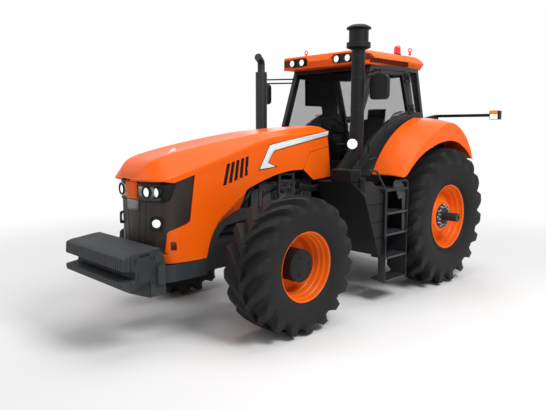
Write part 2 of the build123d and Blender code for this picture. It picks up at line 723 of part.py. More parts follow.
def door_outline():
    """Side view of the door, its lower edge an arc over the fender."""
    slope = windscreen_rake / (cab_eaves - cab_waist)
    front = cab_front_y + 70
    clear = door_clearance
    foot_y = rear_axle_y - math.sqrt(clear ** 2 - (door_low - rear_axle_z) ** 2)
    middle = math.radians(122)
    arc_middle = (rear_axle_y + clear * math.cos(middle), rear_axle_z + clear * math.sin(middle))
    corner = (rear_axle_y - door_rear_low, door_low_rear)
    points = [(foot_y, door_low), (front, door_low), (front, cab_waist),
              (front + slope * (door_high - cab_waist), door_high), (rear_axle_y - door_rear_high, door_high), corner]
    edges = [Line(points[i], points[i + 1]) for i in range(5)]
    edges.append(ThreePointArc(corner, arc_middle, points[0]))
    return make_face(edges)


def quarter_outline():
    y = rear_axle_y
    return [(y - 380, door_high), (y - 195, quarter_low), (y + 35, quarter_low), (y - 150, door_high)]


def windscreen_outline():
    half = cab_front_half - 75
    return [(-half, window_low), (half, window_low), (half + 35, door_high), (-half - 35, door_high)]


def rear_window_outline():
    half = cab_rear_half - 90
    return [(-half, rear_window_low), (half, rear_window_low), (half, door_high - 20), (-half, door_high - 20)]


# each window: its cut through the cab, as a function of the margin left round it
def windscreen_cut(margin):
    return lengthwise(grown(windscreen_outline(), -margin), cab_front_y - 100, cab_front_y + 600)


def rear_window_cut(margin):
    return lengthwise(grown(rear_window_outline(), -margin), cab_rear_y - 600, cab_rear_y + 100)


def right_window_cut(margin):
    return across(grown(door_outline(), -50 - margin), -1000, -400)


def quarter_cut(margin):
    return across(grown(quarter_outline(), -margin), 400, 1000)


def cab_frame():
    """Pillars, sills, walls and floor: the cab's hollow shell with its windows and doorway cut."""
    shell = cab_form(0, cab_floor, cab_eaves) - cab_form(wall, cab_floor + floor_thickness, cab_eaves - wall)
    shell -= across(door_outline(), 400, 1000)
    for cut in (windscreen_cut(0), rear_window_cut(0), right_window_cut(0), quarter_cut(0),
                mirrored(quarter_cut(0))):
        shell -= cut
    return shell


def panes():
    """Windscreen, rear window, right window and the two quarter windows."""
    skin = cab_form(pane_inset, cab_floor, cab_eaves) - cab_form(pane_inset + glass, cab_floor - 50, cab_eaves + 50)
    quarter = skin & quarter_cut(running_gap)
    return (skin & windscreen_cut(running_gap), skin & rear_window_cut(running_gap),
            skin & right_window_cut(running_gap), quarter, mirrored(quarter))


def door():
    """Door frame, as thick as the wall with its inner layer set back, and its pane."""
    outer = cab_form(0, cab_floor, cab_eaves) - cab_form(door_flange, cab_floor - 50, cab_eaves + 50)
    outer &= across(grown(door_outline(), -door_gap), 400, 1000)
    inner = cab_form(door_flange, cab_floor, cab_eaves) - cab_form(wall, cab_floor - 50, cab_eaves + 50)
    inner &= across(grown(door_outline(), -door_gap - door_rebate), 400, 1000)
    frame = outer + inner - across(grown(door_outline(), -door_gap - door_frame_width), 400, 1000)
    skin = cab_form(pane_inset, cab_floor, cab_eaves) - cab_form(pane_inset + glass, cab_floor - 50, cab_eaves + 50)
    pane = skin & across(grown(door_outline(), -door_gap - door_frame_width - running_gap), 400, 1000)
    return frame, pane


def hinge_y(height):
    """The door's tilted hinge line, parallel to its rear edge."""
    lean = (door_rear_high - door_rear_low) / (door_high - door_low_rear)
    return rear_axle_y - door_rear_low - lean * (height - door_low_rear) + 32


def hinge_barrel(height, start, length):
    """A piece of hinge barrel, from start to start + length along the hinge line."""
    low = Vector(hinge_x, hinge_y(height), height)
    line = (Vector(hinge_x, hinge_y(height + 100), height + 100) - low).normalized()
    return bar(low + line * start, low + line * (start + length), hinge_radius)


def frame_hinges():
    """The middle knuckle of each hinge, on a bracket on the cab's middle pillar."""
    shapes = []
    for height in hinge_heights:
        y = hinge_y(height)
        bracket = across([(y, height - 12), (y + 70, height - 12), (y + 70, height + 12), (y, height + 12)],
                         cab_rear_half, hinge_x)
        shapes.append((hinge_barrel(height, -28, 56) + bracket) - cab_form(0, cab_floor, cab_eaves))
    return shapes


def door_hinges():
    """The outer knuckles of each hinge, on an arm on the door's frame."""
    shapes = []
    for height in hinge_heights:
        y = hinge_y(height)
        for start in (-28 - running_gap - 40, 28 + running_gap):
            middle = height + start + 20
            low, high = middle - 12, middle + 12
            arm = block(cab_middle_half + 7, hinge_x, y - 70, y, low, high)
            arm += block(cab_middle_half - 60, hinge_x, y - 70, y - 46, low, high) - cab_form(0, cab_floor, cab_eaves)
            shapes.append(hinge_barrel(height, start, 40) + arm)
    return shapes


def cab_mounts():
    """Rubber blocks between the cab's floor and the gearbox housing."""
    shapes = []
    for x in (-220, 220):
        for y in (cab_front_y + 250, rear_axle_y - 40):
            shapes.append(Pos(x, y, (gearbox_top + cab_floor) / 2) * Cylinder(60, cab_floor - gearbox_top))
    return shapes


def roof():
    """The moulded roof cap, bowed lengthwise and across."""
    front, rear, low = roof_front_y, roof_rear_y, roof_bottom
    top = low + roof_rise
    side_view = [(front + 40, low), (front, low + 90), (front + 50, top - 50), (front + 540, top - 11),
                 (front + 1050, top), (rear - 120, top - 34), (rear, top - 100), (rear - 60, low)]
    half_view = [(roof_half - 40, low), (roof_half, low + 90), (roof_half - 90, top - 40), (420, top + 6)]
    front_view = half_view + [(-x, z) for x, z in reversed(half_view)]
    cap = across(side_view, -roof_half, roof_half) & lengthwise(front_view, front - 10, rear + 10)
    lamp_z = roof_bottom + roof_lamp_rise
    for side in (-1, 1):
        face = sorted((side * (roof_half - 16), side * (roof_half + 10)))
        cap -= block(*face, front + 190, rear - 430, low + 22, low + 88)
        middle = side * sum(roof_lamp_row) / len(roof_lamp_row)
        pocket = RectangleRounded(340, 124, 40)
        cap -= lengthwise(Pos(middle, lamp_z) * pocket, front - 10, front + roof_pocket)
    return cap


# ---------------------------------------------------------------- inside the cab
floor_top = cab_floor + floor_thickness
seat_y = rear_axle_y - 330


def seat():
    """Operator's seat: suspension base, cushion and backrest."""
    base = block(-190, 190, seat_y - 200, seat_y + 200, floor_top, floor_top + 380)
    cushion = block(-260, 260, seat_y - 280, seat_y + 230, floor_top + 380, floor_top + 500)
    back = across([(seat_y + 130, floor_top + 500), (seat_y + 260, floor_top + 500),
                   (seat_y + 340, floor_top + 1150), (seat_y + 250, floor_top + 1150)], -240, 240)
    return base + cushion + back


def steering_column():
    """Dashboard pedestal and column."""
    foot = across([(cab_front_y + wall, floor_top), (cab_front_y + 330, floor_top),
                   (cab_front_y + 300, floor_top + 560), (cab_front_y + 130, floor_top + 700),
                   (cab_front_y + wall, floor_top + 700)], -210, 210)
    return foot


column_foot = (0, cab_front_y + 226, floor_top + 550)
column_head = (0, cab_front_y + 430, floor_top + 850)


def steering_wheel():
    """Column tube, spokes and rim of the hand wheel."""
    line = Vector(*column_head) - Vector(*column_foot)
    plane = Plane(origin=column_head, z_dir=line, x_dir=(1, 0, 0))
    rim = plane * Torus(195, 15)
    hub = plane * Cylinder(40, 50)
    shape = rim + hub + (bar(column_foot, column_head, 26) - steering_column())
    for angle in (90, 210, 330):
        tip = (190 * math.cos(math.radians(angle)), 190 * math.sin(math.radians(angle)), 0)
        shape += plane * bar((0, 0, 0), tip, 12)
    return shape


def console():
    """Side console and armrest on the driver's right."""
    return block(-640, -330, rear_axle_y - 640, rear_axle_y - 60, floor_top, floor_top + 560)


# ---------------------------------------------------------------- fenders
def fender_face(x, inset, front, crest_radius, crest_front, crest_rear, tail):
    """One side-view face of the fender: an arc up, a flat crest and an arc down."""
    y, z = rear_axle_y, rear_axle_z
    crest = z + crest_radius - inset
    bend = (crest_radius - inset) * 0.71
    low_front, low_rear = (y - front + inset, fender_foot), (y + tail - inset, fender_tail_height)
    under = 20 + 5 * inset
    feet = [(low_rear[0], low_rear[1] - under), (low_front[0], low_front[1] - under)]
    edges = [ThreePointArc(low_front, (y - bend * 1.12, z + bend * 0.87), (y - crest_front, crest)),
             Line((y - crest_front, crest), (y + crest_rear, crest)),
             ThreePointArc((y + crest_rear, crest), (y + tail * 0.72, crest - crest_radius * 0.17), low_rear),
             Line(low_rear, feet[0]), Line(feet[0], feet[1]), Line(feet[1], low_front)]
    return Plane.YZ.offset(x) * make_face(edges)


def fender_form(inset):
    inner = fender_face(fender_inner, inset, 1395, fender_crest_radius, 300, 60, fender_tail)
    outer = fender_face(fender_outer - inset, inset, 1295, fender_crest_radius - 80, 160, 20, fender_tail - 25)
    return loft([inner, outer], ruled=True)


def fender():
    """Left rear fender: crowned sheet with an outer face cut out round the tyre."""
    y, z = rear_axle_y, rear_axle_z
    shell = fender_form(0) - fender_form(sheet)
    low = fender_foot - 200
    shell -= across([(y - 2000, low), (y + 1000, low), (y + 1000, fender_tail_height + 2),
                     (y + 500, fender_tail_height + 2), (y - 900, fender_foot + 2), (y - 2000, fender_foot + 2)],
                    800, 1500)
    lip_front, lip_top, lip_rear = (y - 1090, fender_foot - 20), (y - 60, z + 1155), (y + fender_tail - 60, fender_tail_height - 20)
    opening = [ThreePointArc(lip_front, (y - 640, 2040), lip_top),
               ThreePointArc(lip_top, (y + 330, 2095), lip_rear), Line(lip_rear, (lip_rear[0], low)),
               Line((lip_rear[0], low), (lip_front[0], low)), Line((lip_front[0], low), lip_front)]
    return shell - across(make_face(opening), fender_inner + 30, fender_outer + 50)


def fender_strip():
    """The ribbed rubber strip between the cab's side and the left fender."""
    faces = [fender_face(0, inset, 1395, fender_crest_radius, 300, 60, fender_tail) for inset in (0, strip_band)]
    start = arch_half - 10
    outer, inner = [extrude(Pos(start, 0, 0) * face, amount=fender_inner - start, dir=(1, 0, 0)) for face in faces]
    band = outer - inner
    band -= block(600, 1000, rear_axle_y - 2000, rear_axle_y + 1000, 1500, fender_foot + 2)
    band -= block(600, 1000, rear_axle_y + 40, rear_axle_y + 1000, 1500, 3000)
    return band - cab_form(0, cab_floor, cab_eaves)


# ---------------------------------------------------------------- tank, boxes, steps
def fuel_tank():
    """The left fuel tank, its front undercut for the steered wheel and its rear set in for the steps."""
    y = tank_front_y
    rear = step_rear_y + 20
    low = cab_floor - open_gap
    side_view = [(y, tank_top), (y + 60, tank_top - tank_shoulder), (y + 390, tank_bottom), (rear, tank_bottom),
                 (rear, low), (step_front_y, low), (step_front_y - 60, tank_top)]
    front_view = [(tank_inner, tank_bottom), (tank_side, tank_bottom), (tank_side, tank_top - tank_shoulder),
                  (tank_side - 150, tank_top), (tank_inner, tank_top)]
    tank = across(side_view, tank_inner, tank_side) & lengthwise(front_view, y - 10, rear + 10)
    tank -= block(step_inner - open_gap, tank_side + 10, step_front_y - 1, rear + 10, 500, tank_top + 10)
    tyre_room = bar((tank_inner, rear_axle_y, rear_axle_z), (tank_side, rear_axle_y, rear_axle_z),
                    rear_tyre_radius + 40)
    for height in tank_grooves:
        tank -= block(tank_side - 8, tank_side + 10, y - 10, step_front_y + 10, height - 9, height + 9)
    return (tank - tyre_room) + bar((1215, y + 110, tank_top - 120), (1215, y + 110, tank_top + 50), 42)


def tank_brackets(side):
    """Beams from the gearbox housing out to the tank on one side."""
    beam = block(gearbox_half, tank_inner, step_front_y, step_front_y + 120, 760, 900)
    beam += block(gearbox_half, tank_inner, step_rear_y - 160, step_rear_y - 40, 760, 900)
    return on_side(side, beam)


def tool_box():
    return block(785, 1130, tank_front_y + 5, tank_front_y + 210, tank_top, tank_top + 170)


def right_tank():
    """The smaller tank on the right side, with the battery box in front of it."""
    y = tank_front_y
    side_view = [(y + 130, 1450), (y + 410, tank_bottom + 60), (step_rear_y - 40, tank_bottom + 60),
                 (step_rear_y - 40, 1450)]
    tyre_room = bar((tank_inner, rear_axle_y, rear_axle_z), (tank_side, rear_axle_y, rear_axle_z),
                    rear_tyre_radius + 40)
    return mirrored(across(side_view, tank_inner, tank_side - 120) - tyre_room)


def steps():
    """Four treads between two side plates, with the platform in front of the door."""
    shape = block(cab_front_half, step_reach, step_front_y, step_rear_y, platform_height - 30, platform_height)
    shape -= cab_form(0, cab_floor, cab_eaves)
    for y in (step_front_y, step_rear_y - step_plate):
        shape += block(step_inner, step_reach, y, y + step_plate, step_heights[-1] - step_thickness, platform_height)
    for height in step_heights:
        shape += block(step_inner, step_reach, step_front_y, step_rear_y, height - step_thickness, height)
    return shape


def grab_rails():
    """Hand rails at the front and rear edges of the steps."""
    x = step_reach - 20
    low, high = step_heights[1] - 51, platform_height + 95
    front = bent_bar([(x, step_front_y, low), (x, step_front_y, high - 110), (x, step_front_y - 210, high + 153),
                      (x, step_front_y - 380, high + 176)], 14, 60)
    rear = bent_bar([(x, step_rear_y, low - 32), (x, step_rear_y, high), (x, step_rear_y - 330, high),
                     (x, step_rear_y - 330, platform_height - 10)], 14, 60)
    return [front, rear]


# ---------------------------------------------------------------- stacks
intake_x, intake_y = 850, cab_front_y - 105
intake_radius = 90
exhaust_x, exhaust_y = -780, engine_rear_y + 20
exhaust_radius = 86


def intake_stack():
    """Air intake: bent pipe, collar and pre-cleaner bowl under a domed cap."""
    pipe = bent_bar([(intake_x, intake_y, 3390), (intake_x, intake_y, 2000),
                     (intake_x - 450, intake_y - 220, 1850)], intake_radius, 220)
    pipe -= block(0, side_panel_half, intake_y - 600, intake_y + 200, 1600, 2200)
    bowl = Pos(intake_x, intake_y, 0) * revolve(Plane.XZ * Polygon(
        (0, 3390), (110, 3390), (160, 3410), (160, 3475), (130, 3475), (130, 3640), (163, 3650), (163, 3668),
        (110, 3700), (0, 3712), align=None), axis=Axis.Z)
    return pipe + bowl


def exhaust_stack():
    """Exhaust: elbow from the engine bay, shielded riser and slanted tip."""
    riser = bent_bar([(-engine_half, exhaust_y, 1560), (exhaust_x, exhaust_y, 1560),
                      (exhaust_x, exhaust_y, 3190)], 60, 200)
    shield = bar((exhaust_x, exhaust_y, 2050), (exhaust_x, exhaust_y, 3190), exhaust_radius)
    tip = bent_bar([(exhaust_x, exhaust_y, 3190), (exhaust_x, exhaust_y, 3345),
                    (exhaust_x + 70, exhaust_y - 130, 3400)], 55, 70)
    return riser + shield + tip


# ---------------------------------------------------------------- mirrors and lamps
mirror_y = cab_front_y + 20


def side_mirror():
    """Left mirror: rounded glass housing on a double-bar arm from the cab's front pillar."""
    x, z = 1115, cab_eaves - 350
    housing = lengthwise(Pos(x, z) * RectangleRounded(280, 315, 60), mirror_y - 30, mirror_y + 30)
    arm = bar((x, mirror_y, z), (x, mirror_y, z + 241), 12)
    for rise in (230, 170):
        arm += bar((cab_front_half - 10, cab_front_y + 300, z + rise), (x, mirror_y, z + rise), 11)
    return (housing + arm) - cab_form(0, cab_floor, cab_eaves)


def width_lamp():
    """Left width-lamp arm on the fender's crest, with its lamp box."""
    y, z = rear_axle_y + 600, cab_waist + 167
    arm = block(730, 1670, y - 22, y + 22, z - 22, z + 22)
    box = block(1670, 1820, y - 45, y + 45, z - 65, z + 65)
    foot = across([(y - 22, z + 22), (y + 22, z + 22), (y + 22, z - 60), (cab_rear_y - 40, z - 110),
                   (cab_rear_y - 40, z - 40)], 730, 790)
    return (arm + box + foot) - cab_form(0, cab_floor, cab_eaves)


# ---------------------------------------------------------------- rear linkage
hitch_y = rear_axle_y + gearbox_tail
link_end_y = rear_axle_y + tail_overhang


def lower_links():
    """The two lower links, from their pivots to the ball eyes."""
    eye_y = link_end_y - 45
    pivot_y = hitch_y + 60
    link = block(-link_bar_half, link_bar_half, pivot_y, eye_y, link_pivot_height - 40, link_pivot_height + 40)
    link += bar((-link_bar_half, pivot_y, link_pivot_height), (link_bar_half, pivot_y, link_pivot_height), 55)
    link += bar((-link_bar_half - 5, eye_y, link_pivot_height), (link_bar_half + 5, eye_y, link_pivot_height), 45)
    link -= bar((-100, eye_y, link_pivot_height), (100, eye_y, link_pivot_height), link_eye_radius)
    link -= bar((-100, pivot_y, link_pivot_height), (100, pivot_y, link_pivot_height), 20)
    return [Pos(side * link_half_spread, 0, 0) * link for side in (-1, 1)]


def link_pins():
    """Brackets and cross pins that carry the lower links."""
    pivot_y = hitch_y + 60
    inner = link_half_spread - link_bar_half - open_gap
    pin = bar((inner, pivot_y, link_pivot_height), (link_half_spread + link_bar_half + 20, pivot_y,
              link_pivot_height), 20 - running_gap)
    ear = block(gearbox_half - 60, inner, hitch_y - 120, pivot_y + 50, link_pivot_height - 50, link_pivot_height + 90)
    return joined([pin + ear, mirrored(pin + ear)])


def lift_arms():
    """The rockshaft across the housing with its two arms."""
    y = hitch_y - 60
    shape = bar((-lift_arm_half - 35, y, lift_arm_height), (lift_arm_half + 35, y, lift_arm_height), 45)
    for side in (-1, 1):
        arm = block(-30, 30, y, y + lift_arm_length, lift_arm_height - 45, lift_arm_height + 35)
        arm += bar((-30, y + lift_arm_length, lift_arm_height), (30, y + lift_arm_length, lift_arm_height), 50)
        arm += bar((-36, y, lift_arm_height), (36, y, lift_arm_height), 80)
        arm += bar((0, y + lift_arm_length, lift_arm_height), (side * 75, y + lift_arm_length, lift_arm_height),
                   lift_pin_radius)
        shape += Pos(side * lift_arm_half, 0, 0) * arm
    return shape


def rockshaft_bearings():
    """Bearing blocks on the housing, split round the rockshaft."""
    y = hitch_y - 60
    shape = block(-220, 220, y - 90, y + 90, gearbox_top, lift_arm_height + 70)
    return shape - bar((-300, y, lift_arm_height), (300, y, lift_arm_height), 45 + running_gap)


def lift_rods():
    """The two lift rods that hang from the arms beside the lower links."""
    top_y = hitch_y - 60 + lift_arm_length
    rods = []
    for side in (-1, 1):
        start, end = lift_arm_half + 30 + running_gap, link_half_spread - link_bar_half - running_gap
        x, low_y = side * (start + end) / 2, hitch_y + 60 + lift_rod_reach
        rod = bar((x, top_y, lift_arm_height), (x, low_y, link_pivot_height), 16)
        rod += bar((side * start, top_y, lift_arm_height), (side * end, top_y, lift_arm_height), 42)
        rod += bar((side * start, low_y, link_pivot_height), (side * end, low_y, link_pivot_height), 38)
        rod -= bar((x - 60, top_y, lift_arm_height), (x + 60, top_y, lift_arm_height), lift_pin_radius + running_gap)
        rods.append(rod)
    return rods


def top_link():
    """The top link between its bracket and its ball eye."""
    start = (0, hitch_y + 95, 1080)
    end = (0, link_end_y - 60, 1140)
    link = bar(start, end, 28) + bar((-28, *start[1:]), (28, *start[1:]), 45)
    link += bar((-26, *end[1:]), (26, *end[1:]), 42)
    link -= bar((-60, *end[1:]), (60, *end[1:]), 16)
    link -= bar((-60, *start[1:]), (60, *start[1:]), 18)
    bracket = block(-80, -34, hitch_y, hitch_y + 140, 1000, 1160) + block(34, 80, hitch_y, hitch_y + 140, 1000, 1160)
    bracket += bar((-80, *start[1:]), (80, *start[1:]), 18 - running_gap)
    return link, bracket


def drawbar():
    """The drawbar under the housing, with its pin hole."""
    low = gearbox_bottom - 130
    end = hitch_y + 420
    shape = block(-40, 40, rear_axle_y - 200, end, low, low + 45)
    shape += block(-160, 160, hitch_y - 120, hitch_y + 40, low - 20, low)
    for side in (-1, 1):
        shape += block(side * 140 - 20, side * 140 + 20, hitch_y - 120, hitch_y + 40, low, gearbox_bottom)
    shape += block(-60, 60, rear_axle_y - 200, rear_axle_y - 60, low + 45, gearbox_bottom)
    return shape - Pos(0, end - 60, low) * Cylinder(16, 200)


def pto_shaft():
    """The power take-off stub at the back of the housing."""
    return bar((0, hitch_y, 800), (0, hitch_y + 120, 800), 22.5)


# ---------------------------------------------------------------- lamps and small pieces
def lamp_band():
    """The grey headlamp housings either side of the nose's middle block."""
    low, high = visor_height - 220, visor_height - 28
    band = hood_plan(fascia_reach, nose_half, 2, low, high) - hood_plan(fascia_reach, nose_half, hood_sheet, low - 70, high + 38)
    y = front_axle_y
    band &= block(-600, 600, y - 1600, y - 1190, low, high)
    band -= block(-115, 115, y - 1600, y, low - 10, high + 10)
    return band


def headlamps():
    lamps = []
    for side in (-1, 1):
        for x, z, radius in lamp_row:
            y = front_axle_y - fascia_reach + 75 * (x / (nose_half * 0.76)) ** 2
            lamps.append(bar((side * x, y - 6, z), (side * x, y + 60, z), radius))
    return lamps


def nose_block():
    """The coloured block in the middle of the lamps."""
    low, high = visor_height - 200, visor_height + 22
    block_form = hood_plan(fascia_reach, nose_half, -4, low, high)
    block_form -= hood_plan(fascia_reach, nose_half, hood_sheet, low - 90, high + 90)
    return block_form & block(-112, 112, front_axle_y - 1600, front_axle_y - 1200, low, high)


def roof_lamps():
    lamps = []
    z = roof_bottom + roof_lamp_rise
    for x in roof_lamp_row:
        for side in (-1, 1):
            lamps.append(bar((side * x, roof_front_y - 6, z), (side * x, roof_front_y + roof_pocket, z), 50) - roof())
    return lamps


def beacon():
    x, y, top = 420, rear_axle_y - 60, roof_bottom + roof_rise
    return bar((x, y, top - 60), (x, y, top + 40), 70) + bar((x, y, top + 40), (x, y, top + 125), 58) - roof()


# ---------------------------------------------------------------- nodes
def build_nodes():
    nodes = {}
    rubber, rim, hub = front_wheel()
    for name, side in (("left", 1), ("right", -1)):
        nodes["front_tyre_" + name] = [on_side(side, rubber)]
        nodes["front_rim_" + name] = [on_side(side, rim)]
        nodes["front_hub_" + name] = [on_side(side, hub)]
        nodes["knuckle_" + name] = [on_side(side, knuckle())]
    rubber, rim, axle = rear_wheel()
    for name, side in (("left", 1), ("right", -1)):
        nodes["rear_tyre_" + name] = [on_side(side, rubber)]
        nodes["rear_rim_" + name] = [on_side(side, rim)]
        nodes["rear_hub_" + name] = [on_side(side, axle)]
    nodes["front_axle"] = [front_axle() - pivot_bore()]
    nodes["steering_rod"] = [steering_rod()]
    nodes["steering_cylinder"] = [steering_cylinder()]
    nodes["front_frame"] = [front_frame() + axle_pivot()]
    nodes["engine"] = [engine()]
    link, bracket = top_link()
    housing = joined([gearbox(), rear_axle_case(), mirrored(rear_axle_case()), rockshaft_bearings(), link_pins(),
                      bracket, tank_brackets(1), tank_brackets(-1)])
    nodes["rear_housing"] = [housing]
    nodes["radiator"] = [radiator()]
    nodes["drive_shaft"] = [drive_shaft()]
    nodes["front_weights"] = [weights()]
    nodes["hood_shell"] = [hood() + nose_block()]
    nodes["grille"] = [grille() - joined(headlamps())]
    nodes["lamp_band"] = [lamp_band() - joined(headlamps())]
    nodes["headlamps"] = headlamps()
    nodes["hood_side_panels"] = [joined([bulkhead(), hood_side_panel(), mirrored(hood_side_panel())])]
    nodes["front_skirt"] = [skirt()]
    nodes["arch_shields"] = [arch_shields(), mirrored(arch_shields())]
    nodes["cab_frame"] = [joined([cab_frame()] + cab_mounts() + frame_hinges())]
    screen, rear, right, left_quarter, right_quarter = panes()
    nodes["windscreen"] = [screen]
    nodes["cab_windows"] = [rear, right, left_quarter, right_quarter]
    frame, pane = door()
    nodes["door_frame"] = [joined([frame] + door_hinges())]
    nodes["door_pane"] = [pane]
    nodes["cab_roof"] = [roof()]
    nodes["seat"] = [seat()]
    nodes["dashboard"] = [steering_column(), console()]
    nodes["steering_wheel"] = [steering_wheel()]
    nodes["fender_left"] = [fender()]
    nodes["fender_right"] = [mirrored(fender())]
    nodes["fender_strips"] = [fender_strip(), mirrored(fender_strip())]
    nodes["fuel_tank"] = [fuel_tank()]
    nodes["tool_box"] = [tool_box()]
    nodes["right_tank"] = [right_tank()]
    nodes["steps"] = [joined([steps()] + grab_rails())]
    nodes["intake_stack"] = [intake_stack()]
    nodes["exhaust_stack"] = [exhaust_stack()]
    nodes["mirrors"] = [side_mirror(), mirrored(side_mirror())]
    nodes["width_lamps"] = [width_lamp(), mirrored(width_lamp())]
    nodes["lower_links"] = lower_links()
    nodes["lift_arms"] = [lift_arms()]
    nodes["lift_rods"] = lift_rods()
    nodes["top_link"] = [link]
    nodes["drawbar"] = [drawbar()]
    nodes["pto_shaft"] = [pto_shaft()]
    nodes["roof_lamps"] = roof_lamps()
    nodes["beacon"] = [beacon()]
    return nodes


os.makedirs("parts", exist_ok=True)
for node, shapes in build_nodes().items():
    export_step(Compound(children=shapes), "parts/" + node + ".step")
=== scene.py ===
import json
import math

import bmesh
import bpy
import numpy as np
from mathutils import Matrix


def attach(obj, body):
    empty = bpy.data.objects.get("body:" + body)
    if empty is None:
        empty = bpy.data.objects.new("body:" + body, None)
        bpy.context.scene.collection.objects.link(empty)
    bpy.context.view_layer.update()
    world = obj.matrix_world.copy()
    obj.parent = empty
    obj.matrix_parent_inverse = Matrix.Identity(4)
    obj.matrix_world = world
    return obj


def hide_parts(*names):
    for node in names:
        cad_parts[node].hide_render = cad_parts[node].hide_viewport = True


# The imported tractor: +Y is towards the rear, +X the driver's left, Z up, metres.
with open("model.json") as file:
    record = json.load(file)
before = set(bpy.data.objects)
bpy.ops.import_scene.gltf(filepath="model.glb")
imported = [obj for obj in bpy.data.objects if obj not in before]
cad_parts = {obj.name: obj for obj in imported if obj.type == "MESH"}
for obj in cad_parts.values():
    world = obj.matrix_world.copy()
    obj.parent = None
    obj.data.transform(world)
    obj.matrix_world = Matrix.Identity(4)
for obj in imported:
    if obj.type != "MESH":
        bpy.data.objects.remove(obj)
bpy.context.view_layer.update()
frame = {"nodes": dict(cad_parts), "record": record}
nodes = frame["nodes"]
print("stage: frame loaded")


# node helpers
def addNode(tree, kind, **settings):
    node = tree.nodes.new("ShaderNode" + kind)
    for key, value in settings.items():
        setattr(node, key, value)
    return node


def setInputs(node, values):
    for name, value in values.items():
        node.inputs[name].default_value = value
    return node


def linkNodes(tree, *pairs):
    for output, socket in pairs:
        tree.links.new(output, socket)


def feed(tree, node, values):
    # by the index of the node's input: a socket is linked, and a plain value is set
    for index, value in values:
        if hasattr(value, "is_linked"):
            tree.links.new(value, node.inputs[index])
        else:
            node.inputs[index].default_value = value


def mixColor(tree, factor, low, high):
    node = addNode(tree, "Mix", data_type="RGBA")
    feed(tree, node, ((0, factor), (6, low), (7, high)))
    return node.outputs[2]


def mixShader(tree, factor, first, second):
    node = addNode(tree, "MixShader")
    feed(tree, node, ((0, factor), (1, first), (2, second)))
    return node.outputs[0]


def mathNode(tree, operation, first, second, clamp=False):
    node = addNode(tree, "Math", operation=operation, use_clamp=clamp)
    feed(tree, node, ((0, first), (1, second)))
    return node.outputs[0]


def newMaterial(name, settings):
    material = bpy.data.materials.new(name)
    material.use_nodes = True
    tree = material.node_tree
    return material, tree, setInputs(tree.nodes["Principled BSDF"], settings)


def newObject(name, points, faces):
    mesh = bpy.data.meshes.new(name)
    mesh.from_pydata(points, [], faces)
    obj = bpy.data.objects.new(name, mesh)
    bpy.context.scene.collection.objects.link(obj)
    return obj


# camera, light and floor
view = {
    "place": (5.584, -5.959, 2.352), "target": (-0.018, -0.532, 1.294), "lens": 37.21,
    "sensor": 36.0, "far": 200,
}


def lookAt(obj, place, target):
    # local -Z is turned towards the target, with local Y up
    obj.location = place
    away = [p - t for p, t in zip(place, target)]
    flat = math.hypot(away[0], away[1])
    turn = math.atan2(away[1], away[0]) + math.pi / 2
    obj.rotation_euler = (math.pi / 2 - math.atan2(away[2], flat), 0, turn)


def makeCamera():
    data = bpy.data.cameras.new("camera")
    data.lens = view["lens"]
    data.sensor_width = view["sensor"]
    data.clip_end = view["far"]
    camera = bpy.data.objects.new("camera", data)
    bpy.context.scene.collection.objects.link(camera)
    lookAt(camera, view["place"], view["target"])
    bpy.context.scene.camera = camera


studio = {
    # name: place, target, size, power in watts
    "keyLight": ((-4.5, -7.5, 8.0), (0, -0.5, 1.2), 6.0, 190),
    "sideLight": ((7.2, -0.6, 8.2), (0, 0, 1.3), 3.4, 600),
    "rearLight": ((-5.0, 7.0, 6.5), (0, 1.0, 2.0), 6.0, 200),
    "topLight": ((0.5, 0.0, 9.0), (0, 0, 1), 5.0, 205),
}
# fade: distances from the tractor between which the floor lifts to white
surround = {
    "light": 0.36, "backdrop": 1.0, "floorColor": (0.93, 0.93, 0.93), "floorHalf": 60.0,
    "floorRough": 0.9, "floorShine": 0.1, "fade": (3.4, 9.5),
}
white = (1, 1, 1, 1)


def makeLights():
    for name, (place, target, size, power) in studio.items():
        data = bpy.data.lights.new(name, "AREA")
        data.size = size
        data.energy = power
        lamp = bpy.data.objects.new(name, data)
        bpy.context.scene.collection.objects.link(lamp)
        lookAt(lamp, place, target)


def makeWorld():
    # the camera, glass and glossy faces see a white backdrop, and all else a softer light
    world = bpy.data.worlds.new("studioWorld")
    bpy.context.scene.world = world
    world.use_nodes = True
    tree = world.node_tree
    tree.nodes.clear()
    out = addNode(tree, "OutputWorld")
    soft = setInputs(addNode(tree, "Background"), {"Color": white, "Strength": surround["light"]})
    backdrop = setInputs(addNode(tree, "Background"),
                         {"Color": white, "Strength": surround["backdrop"]})
    rays = addNode(tree, "LightPath").outputs
    seen = mathNode(tree, "MAXIMUM", rays["Is Camera Ray"], rays["Is Transmission Ray"])
    seen = mathNode(tree, "MAXIMUM", seen, rays["Is Glossy Ray"])
    mixed = mixShader(tree, seen, soft.outputs[0], backdrop.outputs[0])
    linkNodes(tree, (mixed, out.inputs["Surface"]))


